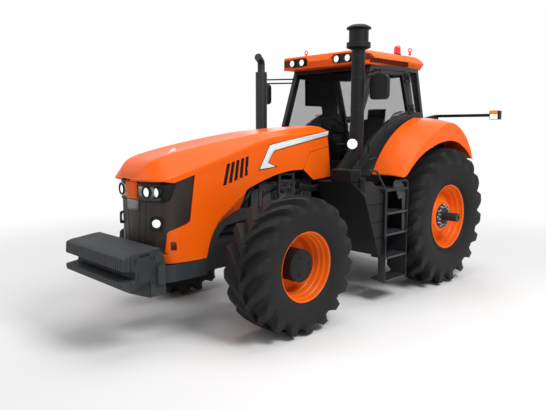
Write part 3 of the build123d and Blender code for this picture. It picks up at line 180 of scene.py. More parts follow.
def makeFloor():
    # a pale floor that keeps the shadow, and lifts to white away from it
    v = surround
    half = v["floorHalf"]
    corners = [(-half, -half, 0), (half, -half, 0), (half, half, 0), (-half, half, 0)]
    floor = newObject("floor", corners, [(0, 1, 2, 3)])
    material, tree, shader = newMaterial("studioFloor", {
        "Base Color": (*v["floorColor"], 1), "Roughness": v["floorRough"],
        "Specular IOR Level": v["floorShine"]})
    glow = setInputs(addNode(tree, "Emission"), {"Color": white})
    where = addNode(tree, "TexCoord")
    span = addNode(tree, "VectorMath", operation="LENGTH")
    fade = setInputs(addNode(tree, "MapRange", interpolation_type="SMOOTHSTEP"),
                     {"From Min": v["fade"][0], "From Max": v["fade"][1]})
    linkNodes(tree, (where.outputs["Object"], span.inputs[0]),
              (span.outputs["Value"], fade.inputs["Value"]))
    seen = addNode(tree, "LightPath").outputs["Is Camera Ray"]
    both = mathNode(tree, "MULTIPLY", fade.outputs["Result"], seen)
    mixed = mixShader(tree, both, shader.outputs[0], glow.outputs[0])
    linkNodes(tree, (mixed, tree.nodes["Material Output"].inputs["Surface"]))
    floor.data.materials.append(material)


makeCamera()
makeLights()
makeWorld()
makeFloor()
bpy.context.scene.view_settings.view_transform = "Standard"
print("stage: camera, lights and floor")


# shared surface effects, as node groups
def newGroup(name, inputs, outputs):
    group = bpy.data.node_groups.new(name, "ShaderNodeTree")
    sockets = group.interface
    for label, kind, value in inputs:
        socket = sockets.new_socket(name=label, in_out="INPUT", socket_type="NodeSocket" + kind)
        socket.default_value = value
    for label, kind in outputs:
        sockets.new_socket(name=label, in_out="OUTPUT", socket_type="NodeSocket" + kind)
    start, end = [group.nodes.new(kind) for kind in ("NodeGroupInput", "NodeGroupOutput")]
    return group, start.outputs, end.inputs


def makeGrainGroup():
    # fine surface grain: noise at one scale gives a height, and a slow cloud shifts the roughness
    group, start, end = newGroup(
        "surfaceGrain",
        [("Scale", "Float", 400.0), ("Cloud Scale", "Float", 3.0),
         ("Rough Low", "Float", 0.4), ("Rough High", "Float", 0.6)],
        [("Height", "Float"), ("Roughness", "Float"), ("Cloud", "Float")])
    where = addNode(group, "TexCoord").outputs["Object"]
    fine = setInputs(addNode(group, "TexNoise"), {"Detail": 3})
    cloud = setInputs(addNode(group, "TexNoise"), {"Detail": 4})
    span = addNode(group, "MapRange")
    linkNodes(group, (where, fine.inputs["Vector"]), (where, cloud.inputs["Vector"]),
              (start["Scale"], fine.inputs["Scale"]), (start["Cloud Scale"], cloud.inputs["Scale"]),
              (start["Rough Low"], span.inputs["To Min"]),
              (start["Rough High"], span.inputs["To Max"]),
              (cloud.outputs["Fac"], span.inputs["Value"]), (cloud.outputs["Fac"], end["Cloud"]),
              (fine.outputs["Fac"], end["Height"]), (span.outputs["Result"], end["Roughness"]))
    return group


def finishMask(group, start, end, field, noise, second):
    # a field between 0 and 1, broken up by noise, mixes the second colour over the first
    where = addNode(group, "TexCoord").outputs["Object"]
    broken = setInputs(addNode(group, "TexNoise"), noise)
    linkNodes(group, (where, broken.inputs["Vector"]))
    patchy = mathNode(group, "MULTIPLY", field, broken.outputs["Fac"])
    mask = mathNode(group, "MULTIPLY", patchy, start["Amount"], clamp=True)
    linkNodes(group, (mixColor(group, mask, start["Color"], start[second]), end["Color"]),
              (mask, end["Mask"]))
    return group


def makeEdgeHighlightGroup():
    # painted highlight: the mesh's pointiness over a threshold lightens sharp edges
    group, start, end = newGroup(
        "paintedEdgeHighlight",
        [("Color", "Color", (0.1, 0.1, 0.1, 1)), ("Highlight Color", "Color", (0.3, 0.3, 0.3, 1)),
         ("Amount", "Float", 0.4)],
        [("Color", "Color"), ("Mask", "Float")])
    edge = setInputs(addNode(group, "MapRange"), {"From Min": 0.52, "From Max": 0.60})
    linkNodes(group, (addNode(group, "NewGeometry").outputs["Pointiness"], edge.inputs["Value"]))
    noise = {"Scale": 26, "Detail": 5}
    return finishMask(group, start, end, edge.outputs["Result"], noise, "Highlight Color")


def makeDustGroup():
    # a light film of dust, thicker near the ground and in slow patches
    group, start, end = newGroup(
        "lowDust",
        [("Color", "Color", (0.1, 0.1, 0.1, 1)), ("Dust Color", "Color", (0.28, 0.26, 0.24, 1)),
         ("Top", "Float", 1.6), ("Amount", "Float", 0.1)],
        [("Color", "Color"), ("Mask", "Float")])
    split = addNode(group, "SeparateXYZ")
    low = setInputs(addNode(group, "MapRange"), {"From Max": 0.0})
    linkNodes(group, (addNode(group, "TexCoord").outputs["Object"], split.inputs[0]),
              (split.outputs["Z"], low.inputs["Value"]), (start["Top"], low.inputs["From Min"]))
    noise = {"Scale": 6, "Detail": 6}
    return finishMask(group, start, end, low.outputs["Result"], noise, "Dust Color")


grainGroup = makeGrainGroup()
edgeHighlightGroup = makeEdgeHighlightGroup()
dustGroup = makeDustGroup()


def addGrain(tree, shader, settings):
    grain = setInputs(addNode(tree, "Group", node_tree=grainGroup), settings)
    linkNodes(tree, (grain.outputs["Roughness"], shader.inputs["Roughness"]))
    return grain


def addBump(tree, shader, height, settings):
    bump = setInputs(addNode(tree, "Bump"), settings)
    linkNodes(tree, (height, bump.inputs["Height"]),
              (bump.outputs["Normal"], shader.inputs["Normal"]))


# columns: base colour; paler colour painted on sharp edges as a highlight, and how much; dust;
# grain per metre; its depth in millimetres; roughness from and to; shine; then metal, coat and the
# coat's roughness
finishes = {
    "orangePaint": ((0.97, 0.126, 0.003), (1.0, 0.22, 0.03), 0.3, 0.01, 900, 0.02, (0.3, 0.38),
        0.18, 0.0, 0.04, 0.12),
    "rimPaint": ((0.88, 0.14, 0.004), (1.0, 0.19, 0.02), 0.3, 0.05, 700, 0.03, (0.36, 0.46), 0.15,
        0.0, 0.08, 0.2),
    "satinBlack": ((0.018, 0.02, 0.023), (0.1, 0.1, 0.11), 0.5, 0.03, 500, 0.08, (0.42, 0.55), 0.3),
    "castBlack": ((0.022, 0.024, 0.027), (0.11, 0.115, 0.12), 0.6, 0.04, 320, 0.35, (0.5, 0.66),
        0.3),
    "greyCasting": ((0.04, 0.041, 0.044), (0.13, 0.13, 0.13), 0.5, 0.05, 260, 0.4, (0.5, 0.68),
        0.3),
    "blackMoulding": ((0.008, 0.0082, 0.009), (0.05, 0.05, 0.052), 0.35, 0.03, 1100, 0.06,
        (0.4, 0.52), 0.18),
    "greyMoulding": ((0.1, 0.1, 0.105), (0.2, 0.2, 0.2), 0.3, 0.05, 1100, 0.05, (0.35, 0.45), 0.35),
    "lampGrey": ((0.2, 0.205, 0.21), (0.3, 0.3, 0.3), 0.2, 0.03, 900, 0.03, (0.25, 0.35), 0.5, 0.5,
        0.3),
    "machinedSteel": ((0.46, 0.46, 0.47), (0.65, 0.65, 0.65), 0.4, 0.05, 800, 0.04, (0.28, 0.42),
        0.5, 1.0),
    "tyreRubber": ((0.01, 0.0102, 0.0108), (0.034, 0.034, 0.036), 0.5, 0.04, 260, 0.35,
        (0.55, 0.72), 0.18),
    "darkCloth": ((0.03, 0.03, 0.034), (0.06, 0.06, 0.065), 0.3, 0.03, 500, 0.04, (0.75, 0.9), 0.1),
    "whiteFilm": ((0.86, 0.86, 0.85), (0.95, 0.95, 0.95), 0.2, 0.02, 900, 0.02, (0.3, 0.4), 0.4,
        0.0, 0.2, 0.15),
    "linerGrey": ((0.027, 0.032, 0.036), (0.08, 0.085, 0.09), 0.3, 0.03, 700, 0.08, (0.42, 0.55),
        0.3),
    "sideGrey": ((0.045, 0.05, 0.054), (0.12, 0.12, 0.12), 0.4, 0.03, 700, 0.08, (0.4, 0.52), 0.3),
    # dark orange: painted shade, for the body's orange paint where it lies in a recess
    "paintedPocketShade": ((0.09, 0.012, 0.003), (0.15, 0.03, 0.01), 0.2, 0.02, 900, 0.02, (0.5, 0.6),
        0.2),
    "stripRubber": ((0.02, 0.02, 0.021), (0.05, 0.05, 0.05), 0.4, 0.1, 400, 0.2, (0.6, 0.75), 0.2),
}


def makeFinish(name, color, edgeHighlight, edge, dust, grain, depth, rough, shine,
               metal=0.0, coat=0.0, coatRough=0.1):
    material, tree, shader = newMaterial(name, {
        "Metallic": metal, "Coat Weight": coat, "Coat Roughness": coatRough,
        "Specular IOR Level": shine})
    fine = addGrain(tree, shader, {"Scale": grain, "Rough Low": rough[0], "Rough High": rough[1]})
    # sharp edges take the paler colour: a painted highlight
    highlight = setInputs(addNode(tree, "Group", node_tree=edgeHighlightGroup),
                     {"Highlight Color": (*edgeHighlight, 1), "Amount": edge})
    film = setInputs(addNode(tree, "Group", node_tree=dustGroup), {"Amount": dust})
    low, high = [(*[min(1, c * share) for c in color], 1) for share in (0.94, 1.06)]
    base = mixColor(tree, fine.outputs["Cloud"], low, high)
    linkNodes(tree, (base, highlight.inputs["Color"]), (highlight.outputs["Color"], film.inputs["Color"]),
              (film.outputs["Color"], shader.inputs["Base Color"]))
    addBump(tree, shader, fine.outputs["Height"], {"Strength": 0.5, "Distance": depth * 0.001})
    return material


materials = {name: makeFinish(name, *values) for name, values in finishes.items()}

glassValues = {
    "surface": {"Transmission Weight": 1.0, "IOR": 1.05},
    "grain": {"Scale": 40, "Rough Low": 0.0, "Rough High": 0.01},
    "tint": ((0.60, 0.605, 0.605, 1), (0.63, 0.635, 0.635, 1)), "shadow": (0.62, 0.62, 0.62, 1),
}


def makeGlass():
    # tinted safety glass with a faint cloud in its tint
    v = glassValues
    material, tree, shader = newMaterial("tintedGlass", v["surface"])
    grain = addGrain(tree, shader, v["grain"])
    linkNodes(tree, (mixColor(tree, grain.outputs["Cloud"], *v["tint"]),
                     shader.inputs["Base Color"]))
    # lamplight falls straight through onto what is inside
    clear = setInputs(addNode(tree, "BsdfTransparent"), {"Color": v["shadow"]})
    shadow = addNode(tree, "LightPath").outputs["Is Shadow Ray"]
    mixed = mixShader(tree, shadow, shader.outputs[0], clear.outputs[0])
    linkNodes(tree, (mixed, tree.nodes["Material Output"].inputs["Surface"]))
    return material


def makeLens(name, color, glow):
    # a moulded lens: a fine grain in the bump, and a soft glow
    material, tree, shader = newMaterial(name, {
        "Coat Weight": 0.2, "Emission Strength": glow, "Emission Color": (*color, 1)})
    grain = addGrain(tree, shader, {"Scale": 90, "Rough Low": 0.12, "Rough High": 0.2})
    deep = (*[c * 0.92 for c in color], 1)
    linkNodes(tree, (mixColor(tree, grain.outputs["Cloud"], deep, (*color, 1)),
                     shader.inputs["Base Color"]))
    addBump(tree, shader, grain.outputs["Height"], {"Distance": 0.0006})
    return material


# scale per metre, depth in metres, and the distances between which a hole's edge rises
grilleHoles = {"scale": 95.0, "depth": 0.0012, "edge": (0.28, 0.36), "rough": (0.32, 0.45)}


def makeGrilleMesh(name, color, gap):
    # perforated sheet: round holes on an even pattern, painted dark as painted shade seen through
    # them, with paint between them
    v = grilleHoles
    material, tree, shader = newMaterial(name, {})
    holes = setInputs(addNode(tree, "TexVoronoi", distance="EUCLIDEAN"),
                      {"Scale": v["scale"], "Randomness": 0.0})
    edge = setInputs(addNode(tree, "MapRange"),
                     {"From Min": v["edge"][0], "From Max": v["edge"][1]})
    linkNodes(tree, (addNode(tree, "TexCoord").outputs["Object"], holes.inputs["Vector"]),
              (holes.outputs["Distance"], edge.inputs["Value"]))
    # the holes take the dark gap colour: painted shade, as they are not cut
    paint = mixColor(tree, edge.outputs["Result"], (*gap, 1), (*color, 1))
    linkNodes(tree, (paint, shader.inputs["Base Color"]))
    addGrain(tree, shader, {"Rough Low": v["rough"][0], "Rough High": v["rough"][1]})
    addBump(tree, shader, edge.outputs["Result"], {"Distance": v["depth"]})
    return material


materials["tintedGlass"] = makeGlass()
materials["clearLens"] = makeLens("clearLens", (0.95, 0.95, 0.94), 0.75)
materials["redLens"] = makeLens("redLens", (0.80, 0.008, 0.004), 0.12)
materials["amberLens"] = makeLens("amberLens", (0.95, 0.25, 0.02), 0.15)
materials["grilleMesh"] = makeGrilleMesh("grilleMesh", (0.020, 0.009, 0.007), (0.004, 0.003, 0.003))
materials["brightMesh"] = makeGrilleMesh("brightMesh", (0.26, 0.26, 0.27), (0.02, 0.02, 0.02))

# material of every carried-over CAD node, by the record's slot
slotFinish = {
    "tyre": "tyreRubber", "rim": "rimPaint", "body": "orangePaint", "dark": "satinBlack",
    "steel": "machinedSteel", "casting": "castBlack", "engine": "greyCasting",
    "plastic": "blackMoulding", "grey": "greyMoulding", "glazing": "tintedGlass",
    "lamp": "clearLens", "beacon": "redLens", "trim": "darkCloth",
}
for part in frame["record"]["subparts"]:
    obj = nodes[part["node"]]
    obj.data.materials.clear()
    obj.data.materials.append(materials[slotFinish[part["material_slot"]]])
nodes["grille"].data.materials[0] = materials["grilleMesh"]
nodes["arch_shields"].data.materials[0] = materials["linerGrey"]
print("stage: materials")


# mesh helpers: every shape is (points, faces), and a piece joins several of them
def joinShapes(shapes):
    points, faces, start = [], [], 0
    for shapePoints, shapeFaces in shapes:
        shapePoints = np.asarray(shapePoints, float).reshape(-1, 3)
        points.append(shapePoints)
        faces += [tuple(index + start for index in face) for face in shapeFaces]
        start += len(shapePoints)
    return np.concatenate(points), faces


def smoothMesh(mesh, angle):
    mesh.shade_smooth()
    mesh.set_sharp_from_angle(angle=math.radians(angle))


def addBevel(obj, width, angle, segments=2):
    edge = obj.modifiers.new("edge", "BEVEL")
    edge.width = width
    edge.segments = segments
    edge.limit_method = "ANGLE"
    edge.angle_limit = math.radians(angle)
    edge.harden_normals = True


def addWall(obj, thickness, offset=-1):
    wall = obj.modifiers.new("wall", "SOLIDIFY")
    wall.thickness = thickness
    wall.offset = offset
    return obj


def makePiece(name, shapes, finish="blackMoulding", body="chassis", bevel=0.0,
              sharp=35):
    points, faces = joinShapes(shapes)
    obj = newObject(name, points.tolist(), faces)
    obj.data.validate()
    obj.data.update()
    obj.data.materials.append(materials[finish])
    smoothMesh(obj.data, sharp)
    if bevel:
        addBevel(obj, bevel, sharp)
    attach(obj, body)
    return obj


def meshCutter(name, shape):
    points, faces = joinShapes([shape])
    return newObject(name, points.tolist(), faces)


def applyModifiers(obj):
    # the evaluated mesh takes the place of the live one
    bpy.context.view_layer.update()
    graph = bpy.context.evaluated_depsgraph_get()
    mesh = bpy.data.meshes.new_from_object(obj.evaluated_get(graph))
    obj.modifiers.clear()
    obj.data = mesh
    return obj


def cutPiece(obj, cutters, operation="DIFFERENCE"):
    for cutter in cutters:
        cut = obj.modifiers.new("cut", "BOOLEAN")
        cut.operation = operation
        cut.solver = "EXACT"
        cut.object = cutter
        cut.use_self = False
    applyModifiers(obj)
    for cutter in cutters:
        bpy.data.objects.remove(cutter)


def gridShape(points, closeU=False, closeV=False):
    # points is (rows, columns, 3); faces join each row to the next
    rows, columns = points.shape[:2]
    index = np.arange(rows * columns).reshape(rows, columns)
    if closeU:
        index = np.concatenate([index, index[:1]])
    if closeV:
        index = np.concatenate([index, index[:, :1]], axis=1)
    corners = [index[:-1, :-1], index[:-1, 1:], index[1:, 1:], index[1:, :-1]]
    quads = np.stack(corners, axis=-1).reshape(-1, 4)
    return points.reshape(-1, 3), [tuple(quad) for quad in quads.tolist()]


def capFaces(count, last):
    # the first and the last ring of a tube, closed flat
    return [tuple(range(count))[::-1], tuple(range(last, last + count))]


def drumFaces(count):
    # two rings joined by a wall, and both closed flat
    wall = [(i, (i + 1) % count, count + (i + 1) % count, count + i) for i in range(count)]
    return wall + capFaces(count, count)


def mergeShape(shape):
    # points that coincide become one, and faces lose their repeated corners
    points, faces = shape
    spots, index = np.unique(np.round(points, 7), axis=0, return_inverse=True)
    index = index.reshape(-1)
    merged = []
    for face in faces:
        ring = index[list(face)].tolist()
        ring = [a for a, b in zip(ring, ring[1:] + ring[:1]) if a != b]
        if len(ring) > 2:
            merged.append(tuple(ring))
    return spots, merged


def ringAbout(line, steps):
    # unit arrows square to a line, evenly round it
    aside = np.cross(line, (0, 0, 1) if abs(line[2]) < 0.9 else (1, 0, 0))
    aside /= np.linalg.norm(aside)
    turn = np.linspace(0, 2 * math.pi, steps, endpoint=False)
    return np.outer(np.cos(turn), aside) + np.outer(np.sin(turn), np.cross(line, aside))


def turnedPoints(profile, center, direction, steps):
    # surface of revolution about a line through center: rows are (distance along it, radius)
    line = np.array(direction, float) / np.linalg.norm(direction)
    profile = np.asarray(profile, float)[::-1]
    ring = ringAbout(line, steps)[:, None]
    return np.asarray(center, float) + profile[None, :, :1] * line + profile[None, :, 1:] * ring


def latheShape(profile, center, direction, steps=40):
    return mergeShape(gridShape(turnedPoints(profile, center, direction, steps), closeU=True))


def closedLathe(profile, center, steps):
    # a ring of any section about a crosswise line: the rows go clockwise round the section
    points = turnedPoints(profile, center, (1, 0, 0), steps)
    return gridShape(points, closeU=True, closeV=True)


def discShape(center, direction, radius, depth, edge=0.003, steps=32):
    # a round plug from center forwards, with a chamfered rim
    profile = [(0, 0), (0, radius), (depth - edge, radius), (depth, radius - edge), (depth, 0)]
    return latheShape(profile, center, direction, steps)


def domeProfile(start, depth, radius):
    turn = np.linspace(math.pi / 2, 0, 8)
    return [(start, 0)] + [(start + depth * math.cos(t), radius * math.sin(t)) for t in turn]


def barShape(start, end, radius, sides=16, tip=None):
    # a closed round bar: one ring at each end, the far one with its own radius, and flat caps
    start, end = np.asarray(start, float), np.asarray(end, float)
    ring = ringAbout((end - start) / np.linalg.norm(end - start), sides)
    far = end + ring * (radius if tip is None else tip)
    return np.concatenate([start + ring * radius, far]), drumFaces(sides)


def boxShape(low, high):
    (x0, y0, z0), (x1, y1, z1) = low, high
    plan = [(x0, y0), (x1, y0), (x1, y1), (x0, y1)]
    return [(x, y, z) for z in (z0, z1) for x, y in plan], drumFaces(4)


def movedBox(low, high, move):
    return boxShape(np.add(low, move), np.add(high, move))


def flatArea(points):
    ahead = np.roll(points, -1, 0)
    return np.sum(points[:, 0] * ahead[:, 1] - points[:, 1] * ahead[:, 0])


def prismShape(outline, axis, low, high):
    # a flat outline carried along one axis: its points are in the other two axes, in X, Y, Z order
    outline = np.asarray(outline, float)
    if (flatArea(outline) < 0) != (axis == 1):
        outline = outline[::-1]
    count = len(outline)
    points = np.zeros((2 * count, 3))
    points[:, [i for i in range(3) if i != axis]] = np.concatenate([outline, outline])
    points[:count, axis] = low
    points[count:, axis] = high
    return points, drumFaces(count)


def cornerArc(first, corner, last, steps):
    # quadratic arc: it leaves first and reaches last along the lines to the corner
    share = np.linspace(0, 1, steps)[:, None]
    return (1 - share) ** 2 * first + 2 * share * (1 - share) * corner + share ** 2 * last


def tubeShape(path, radius, sides=12, bend=0.05):
    # a round tube along straight runs, each inner corner eased by an arc
    path = np.asarray(path, float)
    line = [path[:1]]
    for before, corner, after in zip(path[:-2], path[1:-1], path[2:]):
        into, out = before - corner, after - corner
        reach = min(bend, np.linalg.norm(into) * 0.49, np.linalg.norm(out) * 0.49)
        first = corner + into / np.linalg.norm(into) * reach
        last = corner + out / np.linalg.norm(out) * reach
        line.append(cornerArc(first, corner, last, 7))
    line = np.concatenate(line + [path[-1:]])
    ahead = np.gradient(line, axis=0)
    ahead /= np.linalg.norm(ahead, axis=1)[:, None]
    aside = np.cross(ahead[0], (0, 0, 1) if abs(ahead[0][2]) < 0.9 else (1, 0, 0))
    turn = np.linspace(0, 2 * math.pi, sides, endpoint=False)
    rings = []
    for spot, direction in zip(line, ahead):
        aside = aside - direction * np.dot(aside, direction)
        aside /= np.linalg.norm(aside)
        up = np.cross(direction, aside)
        rings.append(spot + radius * (np.outer(np.cos(turn), aside) + np.outer(np.sin(turn), up)))
    points, faces = gridShape(np.array(rings), closeV=True)
    return points, faces + capFaces(sides, len(points) - sides)


def easeLine(points, rounds=2):
    # corner cutting: each pass replaces a corner with two, a quarter of the way along its runs
    points = np.asarray(points, float)
    for _ in range(rounds):
        near = points[:-1] * 0.75 + points[1:] * 0.25
        far = points[:-1] * 0.25 + points[1:] * 0.75
        cut = np.stack([near, far], 1).reshape(-1, points.shape[1])
        points = np.concatenate([points[:1], cut, points[-1:]])
    return points


def runLength(points):
    steps = np.linalg.norm(np.diff(points, axis=0), axis=1)
    return np.concatenate([[0], np.cumsum(steps)])


def evenLine(points, count):
    points = np.asarray(points, float)
    length = runLength(points)
    where = np.linspace(0, length[-1], count)
    return np.stack([np.interp(where, length, column) for column in points.T], -1)


def roundedOutline(points, radius, steps=4):
    # each corner of a flat outline becomes an arc that starts a radius away along its sides
    points = np.asarray(points, float)
    line = []
    for before, corner, after in zip(np.roll(points, 1, 0), points, np.roll(points, -1, 0)):
        first = corner + (before - corner) / np.linalg.norm(before - corner) * radius
        last = corner + (after - corner) / np.linalg.norm(after - corner) * radius
        line.append(cornerArc(first, corner, last, steps + 1))
    return np.concatenate(line)


def denseOutline(points, step):
    points = np.asarray(points, float)
    line = []
    for a, b in zip(points, np.roll(points, -1, 0)):
        count = max(1, int(np.linalg.norm(b - a) / step))
        line.append(a + (b - a) * np.linspace(0, 1, count, endpoint=False)[:, None])
    return np.concatenate(line)


def grownOutline(points, margin):
    # every side of a flat outline moved outwards by the margin, its corners where moved sides meet
    points = np.asarray(points, float)
    along = np.roll(points, -1, 0) - points
    along /= np.linalg.norm(along, axis=1)[:, None]
    out = np.stack([along[:, 1], -along[:, 0]], -1) * np.sign(flatArea(points))
    middle = out + np.roll(out, 1, 0)
    return points + middle * margin / (np.sum(middle * out, axis=1))[:, None]


def mirrorShape(shape):
    points, faces = shape
    return np.array(points, float) * (-1, 1, 1), [face[::-1] for face in faces]


def onSide(side, shape):
    return shape if side > 0 else mirrorShape(shape)


def bothSides(shapes):
    return [onSide(side, shape) for side in (1, -1) for shape in shapes]


def sideWord(side):
    return "Left" if side > 0 else "Right"


def sideTail(side):
    return "_left" if side > 0 else "_right"


def ringSpot(center, out, radius, angle):
    # a place on a circle about a crosswise line, a distance further out than its middle
    return (center[0] + out, center[1] + radius * math.cos(angle),
            center[2] + radius * math.sin(angle))


# tyres
tyreValues = {
    "front": {"radius": 0.800, "width": 0.600, "flange": 0.405, "x": 1.140, "y": -1.360, "lugs": 18,
        "sweep": 25, "foot": 0.098, "tip": 0.056},
    "rear": {"radius": 1.033, "width": 0.690, "flange": 0.480, "x": 1.085, "y": 1.810, "lugs": 19,
        "sweep": 24, "foot": 0.112, "tip": 0.062},
    # columns: share of the width, share of the height over the rim
    "carcass": [(0.385, -0.045), (0.402, -0.02), (0.412, 0.02), (0.420, 0.06), (0.433, 0.085),
        (0.446, 0.11), (0.452, 0.13), (0.470, 0.20), (0.486, 0.30), (0.497, 0.42), (0.500, 0.52),
        (0.498, 0.60), (0.480, 0.665), (0.445, 0.735), (0.395, 0.80), (0.31, 0.848), (0.20, 0.870),
        (0.0, 0.880)],
    "inside": [(0.0, 0.80), (0.30, 0.77), (0.42, 0.60), (0.44, 0.40), (0.40, 0.14), (0.36, 0.0),
        (0.385, -0.045)],
    # columns: share along the lug, base share of width, base height, tip share of width, tip height
    "lug": [(0.00, 0.470, 0.55, 0.500, 0.585), (0.08, 0.465, 0.62, 0.499, 0.68),
        (0.17, 0.445, 0.70, 0.492, 0.79), (0.25, 0.41, 0.77, 0.479, 0.89),
        (0.32, 0.37, 0.81, 0.458, 0.962), (0.42, 0.30, 0.835, 0.36, 0.984),
        (0.60, 0.20, 0.855, 0.24, 0.996), (0.80, 0.09, 0.865, 0.11, 1.0),
        (1.00, -0.03, 0.865, -0.03, 1.0)],
    # section across a lug: how far each corner has risen from base to tip, and its place across
    "rise": (0.0, 0.72, 1.0, 1.0, 0.72, 0.0), "span": (-0.5, -0.31, -0.25, 0.25, 0.31, 0.5),
    "start": 0.12, "steps": 144, "stations": 17, "curve": 1.25, "tipShare": 0.62,
    # how much wider a lug gets at its inner and its outer end, and over what share of its length
    "flareIn": (0.28, 0.2), "flareOut": (0.5, 0.3),
}


def lugShape(v, side, offset):
    # all lugs of one side: at each station the section is a hexagon from a sunk base to a chamfered
    # tip, and its angle runs ahead towards the middle as sweep times the share to the power curve
    every = tyreValues
    table, rise, span = [np.array(every[key]) for key in ("lug", "rise", "span")]
    share = np.linspace(0, 1, every["stations"])
    baseX, baseUp, tipX, tipUp = [np.interp(share, table[:, 0], table[:, k]) for k in (1, 2, 3, 4)]
    height = v["radius"] - v["flange"]
    x = v["width"] * (baseX[:, None] + (tipX - baseX)[:, None] * rise)
    r = v["flange"] + height * (baseUp[:, None] + (tipUp - baseUp)[:, None] * rise)
    (more, reach), (moreOut, reachOut) = every["flareIn"], every["flareOut"]
    flare = (1 + more * np.clip((share - 1 + reach) / reach, 0, 1)
             + moreOut * np.clip(1 - share / reachOut, 0, 1))
    wide = np.abs(span) * 2 * (v["foot"] * (1 - rise) + v["tip"] * rise / every["tipShare"])
    angle = np.sign(span) * wide * flare[:, None] / v["radius"]
    angle = angle + (np.radians(v["sweep"]) * share ** every["curve"])[:, None]
    turns = offset + np.arange(v["lugs"]) * 2 * math.pi / v["lugs"]
    angle = turns[:, None, None] + angle[None]
    spots = np.stack([side * (v["x"] + np.broadcast_to(x, angle.shape)), v["y"] + r * np.cos(angle),
                      v["radius"] + r * np.sin(angle)], -1)
    shapes = []
    for lug in spots:
        points, faces = gridShape(lug, closeV=True)
        faces += capFaces(6, len(points) - 6)
        shapes.append((points, faces if side < 0 else [face[::-1] for face in faces]))
    return shapes


def farLugShape(v, side, offset):
    # the lugs of the tyre's other half: the same set, mirrored in the tyre's own middle plane
    return [(points * (-1, 1, 1) + (2 * side * v["x"], 0, 0), [face[::-1] for face in faces])
            for points, faces in lugShape(v, side, offset)]


def makeTyre(kind, side):
    v = tyreValues[kind]
    half = easeLine(tyreValues["carcass"], 2)
    inside = easeLine(tyreValues["inside"], 1)
    ring = np.concatenate([half, (half * (-1, 1))[::-1][1:],
                           (inside * (-1, 1))[::-1][1:], inside[1:-1]])
    profile = ring * (v["width"], v["radius"] - v["flange"]) + (0, v["flange"])
    shapes = [closedLathe(profile, (side * v["x"], v["y"], v["radius"]), tyreValues["steps"])]
    shapes += lugShape(v, side, tyreValues["start"])
    shapes += farLugShape(v, side, tyreValues["start"] + math.pi / v["lugs"])
    tyre = makePiece(kind + "TyreTread" + sideWord(side), shapes, "tyreRubber",
                     kind + "_wheel" + sideTail(side), sharp=32)
    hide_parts(kind + "_tyre" + sideTail(side))


for side in (1, -1):
    makeTyre("front", side)
    makeTyre("rear", side)
print("stage: tyres")


